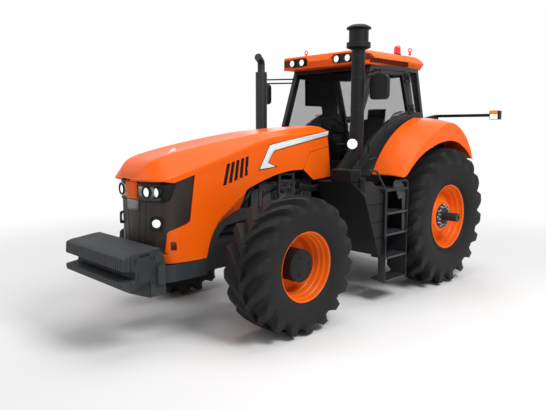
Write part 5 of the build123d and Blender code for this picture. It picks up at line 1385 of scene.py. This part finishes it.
def roofLamps(v):
    # the pocket in plan is a superellipse with power 0.55 on its cosine and sine
    turn = np.linspace(0, 2 * math.pi, 40, endpoint=False)
    outline = np.stack([np.cos(turn), np.sin(turn)], -1)
    outline = np.sign(outline) * np.abs(outline) ** 0.55 * v["pocketHalf"]
    outline = outline + (v["pocketMiddle"], v["lampZ"])
    y = v["front"] + v["pocketDepth"]
    rings, lens = [], []
    for x in v["lamps"]:
        center = (x, v["front"] + 0.020, v["lampZ"])
        rings.append(latheShape(v["ring"], center, (0, -1, 0)))
        lens.append(latheShape(domeProfile(0.006, 0.014, 0.046), center, (0, -1, 0)))
    return prismShape(outline, 1, y, y + 0.004), rings, lens


def roofRibs(vent):
    x, (y0, y1), (z0, z1) = vent["x"], vent["y"], vent["z"]
    ribs = [boxShape((x, y0 - 0.008, z0 - 0.004), (x + 0.002, y1 + 0.008, z1 + 0.004))]
    return ribs + [boxShape((x, y - 0.004, z0), (x + 0.010, y + 0.004, z1))
                   for y in np.linspace(y0, y1, vent["ribs"])]


def liftingEye(v, x, y):
    foot, height = v["eyeFoot"]
    z, wide, thick = v["eyeRing"]
    base = np.array((x, y, foot))
    turn = np.linspace(0, 2 * math.pi, 24, endpoint=False)
    around = np.linspace(0, 2 * math.pi, 10, endpoint=False)
    radius = wide + thick * np.cos(around)
    points = np.stack([x + np.outer(np.cos(turn), radius),
                       np.broadcast_to(y + thick * np.sin(around), (24, 10)),
                       z + np.outer(np.sin(turn), radius)], -1)
    return [barShape(base, base + (0, 0, height), 0.022, 20, 0.014),
            gridShape(points[:, ::-1], closeU=True, closeV=True)]


def makeRoof():
    v = roofValues
    panel, rings, lens = roofLamps(v)
    makePiece("lampPockets", bothSides([panel]))
    makePiece("roofLampRings", bothSides(rings))
    lamps = makePiece("roofLampLenses", bothSides(lens), "clearLens", "chassis")
    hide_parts("roof_lamps")
    # the vent's backing strip and ribs take a dark orange: painted shade of its recess
    makePiece("roofVentShade", bothSides(roofRibs(v["vent"])), "paintedPocketShade", bevel=0.001)
    eyes = [shape for x, y in v["eyes"] for shape in liftingEye(v, x, y)]
    # the lifting eyes take the red lens finish and so glow faintly, though they are no lamp: a
    # painted glow
    makePiece("liftingEyes", eyes, "redLens", "chassis")
    rearLamps = bothSides([discShape(*v["rearLamp"])])
    makePiece("rearWorkLamps", rearLamps)
    start, rise, depth, radius, top = v["dome"]
    crown = [(rise + depth * math.sin(t), radius * math.cos(t) ** 0.7)
             for t in np.linspace(0, 1.52, 10)]
    base = latheShape(v["beaconBase"], v["beacon"], (0, 0, 1))
    glass = latheShape([(start, 0), (start, radius)] + crown + [(top, 0)], v["beacon"], (0, 0, 1))
    makePiece("beaconBase", [base])
    dome = makePiece("beaconDome", [glass], "redLens", "chassis")
    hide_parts("beacon")


makeRoof()
print("stage: roof")


hoodFlap = {
    # side view of the flap's two edges: y, z; the outer one is the arch's edge
    "outer": [(-2.066, 0.880), (-2.046, 0.960), (-2.019, 1.057), (-1.975, 1.160), (-1.922, 1.252),
        (-1.835, 1.335), (-1.727, 1.415), (-1.600, 1.512), (-1.448, 1.609)],
    "inner": [(-2.012, 0.880), (-1.985, 0.960), (-1.940, 1.060), (-1.885, 1.145), (-1.810, 1.225),
        (-1.735, 1.268), (-1.650, 1.305), (-1.575, 1.333), (-1.496, 1.356)],
    "outerX": 0.463, "innerX": 0.372, "louvres": 8,
    "panel": [(-0.425, 1.812), (-0.354, 1.755), (-0.224, 1.659), (0.134, 1.683), (0.084, 2.104),
        (-0.268, 2.036), (-0.296, 2.022)],
    "corner": 0.012, "panelX": (0.446, 0.457),
    # louvres: first place along, step, length along, shares across, shift of the open edge
    "slits": (0.50, 0.042, 0.016), "across": (0.32, 0.78), "open": (0.006, 0.004, 0.008),
    # pocket low on the nose, drawn as a sheet of painted shade: distance round the nose and height,
    # of its lower and its upper edge
    "pocketLow": ((0.525, 0.590), (1.030, 1.022)),
    "pocketHigh": ((0.525, 0.572, 0.590), (1.118, 1.118, 1.095)), "plug": (0.680, 0.952),
}


def flapPoint(along, across):
    # the ruled surface between the two edges, hollowed a little between them
    v = hoodFlap
    share = np.linspace(0, 1, len(v["outer"]))
    low, high = [np.stack([np.interp(along, share, column) for column in np.array(v[key]).T], -1)
                 for key in ("outer", "inner")]
    across = np.asarray(across)[..., None]
    flat = low * (1 - across) + high * across
    x = v["outerX"] + (v["innerX"] - v["outerX"]) * across ** 1.3
    return np.concatenate([x, flat], -1)


def makeHoodFlap():
    v = hoodFlap
    along, across = np.meshgrid(np.linspace(0, 1, 40), np.linspace(0, 1, 8), indexing="ij")
    sheet = gridShape(flapPoint(along, across))
    slits = []
    first, step, length = v["slits"]
    for k in range(v["louvres"]):
        ends = np.array((0, length)) + first + step * k
        lane, row = np.meshgrid(ends, np.linspace(*v["across"], 5), indexing="ij")
        points = flapPoint(lane, row)
        points[0] += v["open"]
        slits.append(gridShape(points))
    for side in (1, -1):
        word = sideWord(side)
        flap = makePiece("archFlap" + word, [onSide(side, sheet)], "orangePaint", "hood")
        addWall(flap, 0.005, 0)
        shapes = [onSide(side, shape) for shape in slits]
        addWall(makePiece("archLouvres" + word, shapes, body="hood"), 0.004, 0)
    outline = denseOutline(roundedOutline(v["panel"], v["corner"], 3), 0.05)
    plates = bothSides([prismShape(outline, 0, *v["panelX"])])
    makePiece("fixedPanels", plates, "orangePaint", "chassis", bevel=0.002)
    # a sheet of painted shade for a pocket, and a round plug, low on each corner of the nose
    lane = np.linspace(*v["pocketLow"][0], 8)
    low, high = [np.interp(lane, *v[key]) for key in ("pocketLow", "pocketHigh")]
    pocket = nosePanel(lane, low, high, 0.0025)
    addWall(makePiece("cornerPocketShade", bothSides([pocket]), "paintedPocketShade", "hood"), 0.004)
    run, z = v["plug"]
    plug = discShape(lampPlace(run, z, -0.002), lampNormal(run), 0.012, 0.008, 0.003, 24)
    makePiece("cornerPlugs", bothSides([plug]), "orangePaint", "hood")


makeHoodFlap()
print("stage: hood flap and panels")


fenderValues = {
    "outer": 1.385, "wheel": (1.810, 1.033), "crest": 1.470, "drop": 0.080, "foot": 1.704,
    "tail": 0.665, "end": 1.882,
    "lip": [(0.545, 1.705), (0.600, 1.716), (0.655, 1.752), (0.774, 1.863), (1.013, 2.010),
        (1.353, 2.131), (1.749, 2.187), (2.048, 2.134), (2.301, 1.996), (2.425, 1.882)],
    "ribs": 110, "wallRadius": 1.062,
    # how far ahead of the wheel the inner and the outer edge stand on the foot
    "feet": (1.315, 1.295), "wallX": (0.909, 0.914), "ribX": (0.868, 0.9035),
    # rows across the top: x, share of the way from the inner edge to the outer one
    "across": ((0.905, 0.0), (0.909, 0.012), (1.05, 0.33), (1.20, 0.66), (1.30, 0.86),
        (1.365, 0.985)),
    "down": (0.0, 0.12, 0.45, 0.85, 0.97, 1.0), "columns": 90, "crown": 0.014,
    # flat crest ahead of and behind the wheel, for the inner and the outer edge
    "flatInner": (0.30, 0.06), "flatOuter": (0.16, 0.02), "tailTuck": 0.025,
    # where the arcs pass: share of the crest ahead and up; share of the tail, and how far down
    "risePass": (0.7952, 0.6177), "fallPass": (0.72, 0.25),
    # ribs: share of the edge that has them, depth and height, share of the step
    "ribRun": 0.72, "rib": (0.03, 0.036, 0.5),
}


def arcLine(first, middle, last, count):
    # points along the circle through three points
    rows = np.array([first, middle, last], float)
    # its center is as far from the first point as from the other two: two straight conditions
    center = np.linalg.solve(2 * (rows[1:] - rows[0]), np.sum(rows[1:] ** 2 - rows[0] ** 2, axis=1))
    radius = np.linalg.norm(rows[0] - center)
    start, end = [math.atan2(y, x) for x, y in rows[[0, 2]] - center]
    turn = np.linspace(start, end, count)
    return center + radius * np.stack([np.cos(turn), np.sin(turn)], -1)


def fenderEdge(front, crest, flat, tail):
    # an arc up from the foot, a flat crest and an arc down to the tail
    v = fenderValues
    (y, z), (ahead, up), (back, down) = v["wheel"], v["risePass"], v["fallPass"]
    rise = arcLine((y - front, v["foot"]), (y - crest * ahead, z + crest * up),
                   (y - flat[0], z + crest), 60)
    fall = arcLine((y + flat[1], z + crest), (y + tail * back, z + crest - down),
                   (y + tail, v["end"]), 40)
    return evenLine(np.concatenate([rise, fall]), v["columns"])


def fenderRib(near, far):
    # a small block under the edge, half as long as the step between two spots on it
    depth, height, share = fenderValues["rib"]
    run = (far - near) / np.linalg.norm(far - near)
    up = np.array((-run[1], run[0]))
    up = -up if up[1] < 0 else up
    base = near - up * depth
    end = base + (far - near) * share
    outline = [base, end, end + up * height, base + up * height]
    return prismShape(outline, 0, *fenderValues["ribX"])


def makeFender(side):
    v = fenderValues
    count = v["columns"]
    inner = fenderEdge(v["feet"][0], v["crest"], v["flatInner"], v["tail"])
    crest, tail = v["crest"] - v["drop"], v["tail"] - v["tailTuck"]
    outer = fenderEdge(v["feet"][1], crest, v["flatOuter"], tail)
    lip = evenLine(easeLine(v["lip"], 2), count)
    rows = []
    for x, share in v["across"]:
        line = inner * (1 - share) + outer * share + (0, v["crown"] * math.sin(math.pi * share))
        rows.append(np.insert(line, 0, x, axis=1))
    for share in v["down"]:
        line = outer * (1 - share) + lip * share
        rows.append(np.insert(line, 0, v["outer"] - 0.004 * share, axis=1))
    eased = easeLine(np.array(rows).reshape(len(rows), -1), 2).reshape(-1, count, 3)
    skin = makePiece("fenderSkin" + sideWord(side), [onSide(side, gridShape(eased))], "orangePaint",
                     "chassis", sharp=50)
    addWall(skin, 0.009)
    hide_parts("fender" + sideTail(side))
    # the inner wall fills between the skin and a circle clear of the tyre
    y, z = v["wheel"]
    top = inner[inner[:, 0] > y - 0.62] - (0, 0.012)
    across = np.linspace(y + v["tail"] - 0.004, top[0, 0], 40)
    low = np.stack([across, z + np.sqrt(v["wallRadius"] ** 2 - (across - y) ** 2)], -1)
    wall = prismShape(np.concatenate([top, low]), 0, *v["wallX"])
    makePiece("fenderWall" + sideWord(side), [onSide(side, wall)], "stripRubber")
    line = evenLine(inner, v["ribs"])[:int(v["ribs"] * v["ribRun"])]
    ribs = [onSide(side, fenderRib(near, far)) for near, far in zip(line[:-1], line[1:])]
    makePiece("fenderRibs" + sideWord(side), ribs, "stripRubber")


for side in (1, -1):
    makeFender(side)
print("stage: fenders")


roofPods = {
    "front": [(0.205, 3.333), (0.262, 3.398), (0.90, 3.398), (0.90, 3.268), (0.245, 3.268)],
    "side": [(0.20, 3.398), (0.600, 3.392), (0.655, 3.340), (0.615, 3.285), (0.20, 3.268)],
    "depth": 0.052, "corner": 0.110, "half": 0.800, "reach": 0.062,
    # panels of painted shade on the pods' back walls: across the front, and along the side from a
    # place behind the front
    "frontShadePanel": [(0.236, 3.333), (0.276, 3.380), (0.735, 3.380), (0.735, 3.284), (0.262, 3.284)],
    "sideShadePanel": [(0.410, 3.380), (0.585, 3.376), (0.628, 3.338), (0.600, 3.300), (0.410, 3.284)],
}


def cutRoof():
    # the lamp pods go round the front corners, and the corners themselves are cut off on a slant
    v = roofPods
    roof = bpy.data.objects["roofCap"]
    applyModifiers(roof)
    front, half, corner = roofValues["front"], v["half"], v["corner"]
    back, inside = front + v["depth"], half - v["reach"]
    wedge = [(half - corner, front - 0.01), (half + 0.02, front - 0.01),
             (half + 0.02, front + corner + 0.01), (half + 0.001, front + corner)]
    cuts = (("podFront", prismShape(v["front"], 1, 0.20, back)),
            ("podSide", prismShape(v["side"], 0, inside, 0.95)),
            ("cornerWedge", prismShape(wedge, 2, 3.10, 3.7)))
    cutPiece(roof, [meshCutter(name, onSide(side, shape))
                    for side in (1, -1) for name, shape in cuts])
    smoothMesh(roof.data, 28)
    # dark orange panels over the pods' back walls: painted shade
    shadePanels = bothSides([prismShape(v["frontShadePanel"], 1, back - 0.006, back + 0.002),
                       prismShape(v["sideShadePanel"], 0, inside - 0.004, inside + 0.004)])
    makePiece("podShadePanels", shadePanels, "paintedPocketShade")


cutRoof()
print("stage: roof pods")


padValues = {
    "cushion": {"low": (-0.235, 1.215, 1.935), "high": (0.235, 1.690, 2.030), "lean": 0.0,
        "fill": 0.7},
    "backrest": {"low": (-0.225, 1.655, 2.060), "high": (0.225, 1.745, 2.520), "lean": 0.115,
        "fill": 0.7},
    "headrest": {"low": (-0.135, 1.755, 2.545), "high": (0.135, 1.815, 2.665), "lean": 0.115,
        "fill": 0.7},
    "voxel": 0.014, "frames": 16, "pressure": 4.0, "cap": 0.014,
    # sewn cords: pad, share of its height or depth
    "cords": (("cushion", 0.36), ("cushion", 0.70), ("backrest", 0.30), ("backrest", 0.58),
        ("backrest", 0.80)),
    "base": [((-0.19, 1.28, 1.541), (0.19, 1.66, 1.585)),
        ((-0.225, 1.235, 1.905), (0.225, 1.69, 1.935))],
    "bellows": {"low": (-0.165, 1.31, 1.585), "high": (0.165, 1.63, 1.625), "folds": 8,
        "fold": 0.006, "step": 0.04},
    "shell": [(1.735, 2.03), (1.765, 2.03), (1.850, 2.66), (1.825, 2.665)], "shellHalf": 0.17,
    "posts": (-0.06, 0.06),
    # armrests, then what holds them
    "arms": [((0.262, 1.33, 2.16), (0.320, 1.70, 2.20))],
    "stays": [((0.268, 1.64, 1.95), (0.300, 1.70, 2.165))],
}


def padShape(low, high, lean):
    # a rounded box: cosines and sines to the power 0.32 about its middle, leaning back as it rises
    low, high = np.array(low), np.array(high)

    def bent(value):
        return np.sign(value) * np.abs(value) ** 0.32

    turn = np.linspace(-math.pi / 2, math.pi / 2, 19)
    around = np.linspace(0, 2 * math.pi, 40, endpoint=False)
    x = np.outer(bent(np.cos(turn)), bent(np.cos(around)))
    y = np.outer(bent(np.cos(turn)), bent(np.sin(around)))
    z = np.outer(bent(np.sin(turn)), np.ones(40))
    points = np.stack([x, y, z], -1) * (high - low) / 2 + (low + high) / 2
    points[..., 1] += (points[..., 2] - low[2]) * lean
    return mergeShape(gridShape(points, closeV=True))


def puffPad(pad):
    # remesh evenly, blow up with no gravity, cap how far each point went, then smooth once
    remesh = pad.modifiers.new("even", "REMESH")
    remesh.mode = "VOXEL"
    remesh.voxel_size = padValues["voxel"]
    applyModifiers(pad)
    start = np.empty(len(pad.data.vertices) * 3)
    pad.data.vertices.foreach_get("co", start)
    cloth = pad.modifiers.new("puff", "CLOTH")
    cloth.settings.use_pressure = True
    cloth.settings.uniform_pressure_force = padValues["pressure"]
    cloth.settings.effector_weights.gravity = 0.0
    cloth.settings.quality = 4
    cloth.point_cache.frame_start = 1
    cloth.point_cache.frame_end = padValues["frames"]
    for number in range(1, padValues["frames"] + 1):
        bpy.context.scene.frame_set(number)
    applyModifiers(pad)
    bpy.context.scene.frame_set(1)
    end = np.empty(len(pad.data.vertices) * 3)
    pad.data.vertices.foreach_get("co", end)
    move = (end - start).reshape(-1, 3)
    size = np.linalg.norm(move, axis=1, keepdims=True)
    move *= np.minimum(1, padValues["cap"] / np.maximum(size, 1e-9))
    pad.data.vertices.foreach_set("co", (start.reshape(-1, 3) + move).ravel())
    pad.data.update()
    pad.data.shade_smooth()
    soft = pad.modifiers.new("soft", "SUBSURF")
    soft.levels = soft.render_levels = 1


def channelShape(low, high, lean, share):
    # a thin sewn cord across the face of a pad at a share of its height or depth
    low, high = np.array(low), np.array(high)
    left, right = low[0] + 0.03, high[0] - 0.03
    if lean:
        z = low[2] + (high[2] - low[2]) * share
        y = low[1] - 0.003 + (z - low[2]) * lean
        return tubeShape([(left, y, z), (0, y - 0.004, z), (right, y, z)], 0.004, 8)
    y, z = low[1] + (high[1] - low[1]) * share, high[2]
    return tubeShape([(left, y, z + 0.003), (0, y, z + 0.006), (right, y, z + 0.003)], 0.004, 8)


def makeSeat():
    for name in ("cushion", "backrest", "headrest"):
        v = padValues[name]
        pad = makePiece("seat" + name.capitalize(), [padShape(v["low"], v["high"], v["lean"])],
                        "darkCloth", "chassis")
        puffPad(pad)
        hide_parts("seat")
    v = padValues
    cords = [channelShape(v[name]["low"], v[name]["high"], v[name]["lean"], share)
             for name, share in v["cords"]]
    makePiece("seatPiping", cords, "stripRubber", "chassis")
    shapes = [boxShape(*corners) for corners in v["base"]]
    b = v["bellows"]
    for k in range(b["folds"]):
        fold, rise = b["fold"] * (k % 2), b["step"] * k
        low, high = np.add(b["low"], (fold, fold, rise)), np.add(b["high"], (-fold, -fold, rise))
        shapes.append(boxShape(low, high))
    shapes.append(prismShape(v["shell"], 0, -v["shellHalf"], v["shellHalf"]))
    shapes += [barShape((x, 1.80, 2.50), (x, 1.815, 2.57), 0.007, 10) for x in v["posts"]]
    for key in ("arms", "stays"):
        shapes += bothSides([boxShape(*corners) for corners in v[key]])
    frameWork = makePiece("seatFrame", shapes, "blackMoulding", "chassis", bevel=0.006)
    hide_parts("seat")


makeSeat()
print("stage: seat")


cabValues = {
    "blind": [(0.935, 2.715), (0.925, 3.175), (1.640, 3.175), (1.780, 2.600), (1.365, 2.540),
        (1.360, 2.715)],
    "blindX": 0.772,
    "headliner": [(-0.62, 0.72), (0.62, 0.72), (0.76, 1.45), (0.70, 1.88), (-0.70, 1.88),
        (-0.76, 1.45)],
    "rail": [(0.842, 0.925, 2.356), (0.852, 0.960, 2.470), (0.852, 1.060, 2.560),
        (0.852, 1.225, 2.594), (0.842, 1.300, 2.594)],
    # work lamp: place, direction, shell and glass (distance forwards, radius), and its arm
    "lampPlace": (0.900, 0.047, 2.147), "lampWay": (0.55, -0.83, 0.05),
    "lampShell": [(-0.035, 0), (-0.035, 0.050), (-0.010, 0.074), (0.012, 0.078), (0.016, 0.074),
        (0.010, 0.066), (0.006, 0)],
    "lampGlass": [(0.004, 0), (0.008, 0.068), (0.016, 0.060), (0.022, 0.040), (0.025, 0)],
    "lampArm": [(0.90, 0.07, 2.14), (0.84, 0.16, 2.17), (0.70, 0.318, 2.22)],
    "gasGear": [(0.872, 0.46, 1.92), (0.872, 0.70, 1.95)],
    "handle": ((0.846, 0.455, 2.010), (0.872, 0.500, 2.130)),
    # levers: path, radius, sides
    "levers": [([(-0.10, 0.62, 2.05), (-0.10, 0.665, 2.20)], 0.014, 10),
        ([(0.05, 0.70, 2.32), (0.17, 0.68, 2.36)], 0.006, 8),
        ([(-0.05, 0.70, 2.32), (-0.17, 0.68, 2.36)], 0.006, 8)],
}


def makeCabTrim():
    v = cabValues
    blind = prismShape(v["blind"], 0, -v["blindX"] - 0.006, -v["blindX"])
    makePiece("sideBlind", [blind], "darkCloth", "chassis")
    liner = prismShape(v["headliner"], 2, 3.150, 3.178)
    makePiece("headliner", [liner], "darkCloth", "chassis", bevel=0.01)
    grab = tubeShape(v["rail"], 0.012, 12, 0.06)
    makePiece("doorGrab", [grab], "satinBlack", "door_left")
    lamp, glass = [latheShape(v[key], v["lampPlace"], v["lampWay"])
                   for key in ("lampShell", "lampGlass")]
    makePiece("workLampShell", [lamp, tubeShape(v["lampArm"], 0.011)])
    makePiece("workLampGlass", [glass], "clearLens", "chassis")
    gear = tubeShape(v["gasGear"], 0.008, 10)
    makePiece("doorGasGear", [gear], "satinBlack", "door_left")
    makePiece("doorHandle", [boxShape(*v["handle"])], body="door_left", bevel=0.006)
    makePiece("columnLevers", [tubeShape(*row) for row in v["levers"]])


makeCabTrim()
print("stage: cab trim")


bayValues = {
    "ladder": {"x": 0.372, "foot": ((-0.828, 1.470), (-0.585, 1.455)),
        "top": ((-0.811, 1.795), (-0.549, 1.780)), "rungs": 4},
    # pipes: path, radius
    "pipes": [
        ([(0.455, -0.545, 1.600), (0.470, -0.36, 1.555), (0.475, -0.18, 1.545),
          (0.47, 0.06, 1.585)], 0.046),
        ([(0.30, -0.98, 1.30), (0.335, -0.80, 1.42), (0.335, -0.55, 1.40), (0.31, -0.30, 1.52)],
         0.022),
        ([(0.30, -1.02, 1.10), (0.335, -0.85, 1.18), (0.335, -0.50, 1.16), (0.31, -0.20, 1.22)],
         0.018),
        ([(0.29, -1.00, 1.50), (0.325, -0.90, 1.58), (0.325, -0.62, 1.60)], 0.013),
        ([(0.29, -0.70, 1.00), (0.335, -0.60, 1.12), (0.335, -0.40, 1.32), (0.30, -0.25, 1.36)],
         0.013),
        ([(0.20, -1.12, 1.70), (0.30, -1.22, 1.62), (0.33, -1.36, 1.45), (0.20, -1.50, 1.30)],
         0.035),
    ],
    # injection row: two boxes and a cap, set out along Y by a step
    "row": {"start": -1.02, "step": 0.155, "count": 6,
        "boxes": [((0.15, 0, 1.600), (0.262, 0.130, 1.668)),
            ((0.262, 0.02, 1.36), (0.292, 0.11, 1.56))],
        "cap": ((0.285, 0.065, 1.47), (0.300, 0.065, 1.47), 0.030)},
    "boxes": [((0.262, -1.04, 1.15), (0.300, -0.70, 1.31)),
        ((0.262, -0.62, 0.90), (0.310, -0.30, 1.10)), ((0.255, -1.05, 0.79), (0.290, -0.08, 0.845)),
        ((0.05, -1.19, 1.20), (0.26, -1.06, 1.58))],
    # filters and pulleys: ends, radius, sides
    "drums": [((0.31, -0.46, 0.86), (0.31, -0.46, 1.14), 0.055, 24),
        ((0.31, -0.34, 0.86), (0.31, -0.34, 1.12), 0.050, 24),
        ((0.27, -0.95, 1.02), (0.33, -0.95, 1.02), 0.075, 28),
        ((0.12, -1.23, 1.40), (0.12, -1.185, 1.40), 0.085, 28)],
    "stay": ((0.27, -0.72, 1.500), (0.382, -0.66, 1.530)),
    "shroud": [((-0.30, -1.990, 1.080), (0.30, -1.420, 1.780)),
        ((-0.27, -1.420, 1.100), (0.27, -1.240, 1.740)),
        ((-0.11, -1.240, 1.240), (0.11, -1.060, 1.560))],
    "shield": [((-0.14, -1.050, 1.640), (0.14, -0.100, 1.780)),
        ((-0.16, -1.060, 1.775), (0.16, -0.090, 1.790))],
    "stepRoom": ((1.08, 0.20, 0.28), (1.235, 0.245, 0.66)),
}


def ladderShapes(ladder):
    # two rails from foot to top, and rungs between them
    shapes, x = [], ladder["x"]
    for (fy, fz), (ty, tz) in zip(ladder["foot"], ladder["top"]):
        outline = [(fy - 0.018, fz), (fy + 0.018, fz), (ty + 0.018, tz), (ty - 0.018, tz)]
        shapes.append(prismShape(outline, 0, x, x + 0.030))
    foot, top = np.array(ladder["foot"]), np.array(ladder["top"])
    for k in range(ladder["rungs"]):
        near, far = foot + (top - foot) * (0.10 + 0.27 * k)
        half = np.array((0, 0.016))
        outline = [near - half, far - half, far + half, near + half]
        shapes.append(prismShape(outline, 0, x + 0.004, x + 0.024))
    return shapes


def engineShapes(v):
    row, shapes = v["row"], []
    for k in range(row["count"]):
        along = (0, row["start"] + row["step"] * k, 0)
        shapes += [movedBox(low, high, along) for low, high in row["boxes"]]
        start, end, radius = row["cap"]
        shapes.append(barShape(np.add(start, along), np.add(end, along), radius))
    shapes += [boxShape(*corners) for corners in v["boxes"]]
    return shapes + [barShape(*drum) for drum in v["drums"]]


def makeEngineBay():
    v = bayValues
    ladder = ladderShapes(v["ladder"]) + [boxShape(*v["stay"])]
    pipes = [tubeShape(path, radius, 16, 0.09) for path, radius in v["pipes"]]
    for side in (1, -1):
        for name, shapes, finish, slot, bevel in (
                ("ladderBracket", ladder, "satinBlack", "dark", 0.003),
                ("bayPipes", pipes, "blackMoulding", "plastic", 0.0),
                ("engineFittings", engineShapes(v), "greyCasting", "engine", 0.006)):
            makePiece(name + sideWord(side), [onSide(side, shape) for shape in shapes], finish,
                      "chassis", bevel=bevel)


def makeShroud():
    # the fan's shroud from the radiator to the engine, and a heat shield along the engine's top
    for name, key, bevel in (("fanShroud", "shroud", 0.02), ("heatShield", "shield", 0.008)):
        shapes = [boxShape(*corners) for corners in bayValues[key]]
        makePiece(name, shapes, bevel=bevel)


def cutSteps():
    frameSteps = bpy.data.objects["stepFrame"]
    applyModifiers(frameSteps)
    cutPiece(frameSteps, [meshCutter("stepRoom", boxShape(*bayValues["stepRoom"]))])
    smoothMesh(frameSteps.data, 30)


makeEngineBay()
makeShroud()
cutSteps()
print("stage: engine bay")


sideValues = {
    "toolRibs": 9,
    "platePanel": [(0.444, 1.615), (0.500, 1.650), (0.602, 1.645), (0.732, 1.515), (0.640, 1.418),
        (0.560, 1.400)],
    "plateStrip": [(0.640, 1.418), (0.732, 1.515), (0.742, 1.066), (0.700, 0.918), (0.664, 0.918)],
    "treads": (1.250, 0.965, 0.650, 0.335),
    # ribs of the tool box: front ones along X, a shelf, and outer ones along Y
    "frontRib": ((0.800, -0.2575, 1.730), (0.818, -0.245, 1.815), 0.036),
    "shelf": ((0.783, -0.254, 1.705), (1.133, -0.040, 1.716)),
    "outerRib": ((1.122, 0, 1.730), (1.136, 0.025, 1.815)),
    "outerRibs": (-0.235, -0.190, -0.145, -0.100),
    "cap": [(0, 0), (0, 0.050), (0.030, 0.050), (0.036, 0.044), (0.036, 0)],
    "capPlace": (1.215, -0.145, 1.690),
    "plateX": (1.300, 1.312),
    # grips on a tread: the first one's corners, the step along Y and how many; the tread's edge
    "grip": ((1.112, 0.255, 0), (1.338, 0.275, 0.004), 0.068, 7),
    "nosing": [(1.335, 0.235), (1.352, 0.300), (1.352, 0.660), (1.335, 0.725)],
    "amber": ((1.684, 2.356, 2.566), (1.796, 2.420, 2.620)),
    "white": ((1.684, 2.356, 2.492), (1.796, 2.420, 2.560)),
    "footRoom": ((0.30, -0.60, 1.60), (1.10, 0.45, 2.17)),
    "footPath": [(0.850, 0.205, 2.180), (0.850, 0.205, 2.060), (0.688, 0.005, 1.686)],
    "clamp": [(-0.014, 0.088), (-0.014, 0.0935), (0.014, 0.0935), (0.014, 0.088)],
    "clamps": (2.17, 2.60, 3.02, 3.30),
}


def toolBoxRibs(v):
    low, high, step = v["frontRib"]
    ribs = [movedBox(low, high, (step * k, 0, 0)) for k in range(v["toolRibs"])]
    ribs.append(boxShape(*v["shelf"]))
    return ribs + [movedBox(*v["outerRib"], (0, y, 0)) for y in v["outerRibs"]]


def treadShapes(v):
    low, high, step, count = v["grip"]
    edge = roundedOutline(v["nosing"], 0.02, 3)
    shapes = []
    for z in v["treads"]:
        for k in range(count):
            shapes.append(movedBox(low, high, (0, step * k, z)))
        shapes.append(prismShape(edge, 2, z - 0.026, z))
    return shapes


def makeSideTrim():
    v = sideValues
    makePiece("toolBoxRibs", toolBoxRibs(v), bevel=0.003)
    cap = latheShape(v["cap"], v["capPlace"], (0, 0, 1), 32)
    makePiece("fillerCap", [cap], bevel=0.002)
    plates = [prismShape(v[key], 0, *v["plateX"]) for key in ("platePanel", "plateStrip")]
    makePiece("stepSidePlate", plates, "sideGrey", "chassis", bevel=0.003)
    makePiece("treadGrips", treadShapes(v), "sideGrey", "chassis", bevel=0.0012)
    amber, clear = [bothSides([boxShape(*v[key])]) for key in ("amber", "white")]
    makePiece("widthAmber", amber, "amberLens", "chassis", bevel=0.004)
    makePiece("widthWhite", clear, "clearLens", "chassis", bevel=0.004)


def makeIntakeFoot():
    # the intake's foot bends in behind the tool box
    v = sideValues
    stack = bpy.data.objects["intakePipe"]
    cutPiece(stack, [meshCutter("cutFoot", boxShape(*v["footRoom"]))])
    foot = tubeShape(v["footPath"], 0.090, 40, 0.20)
    makePiece("intakeFoot", [foot])
    x, y = v["footPath"][0][:2]
    clamps = [latheShape(v["clamp"], (x, y, z), (0, 0, 1), 48) for z in v["clamps"]]
    makePiece("intakeClamps", clamps)


makeSideTrim()
makeIntakeFoot()
print("stage: side trim")
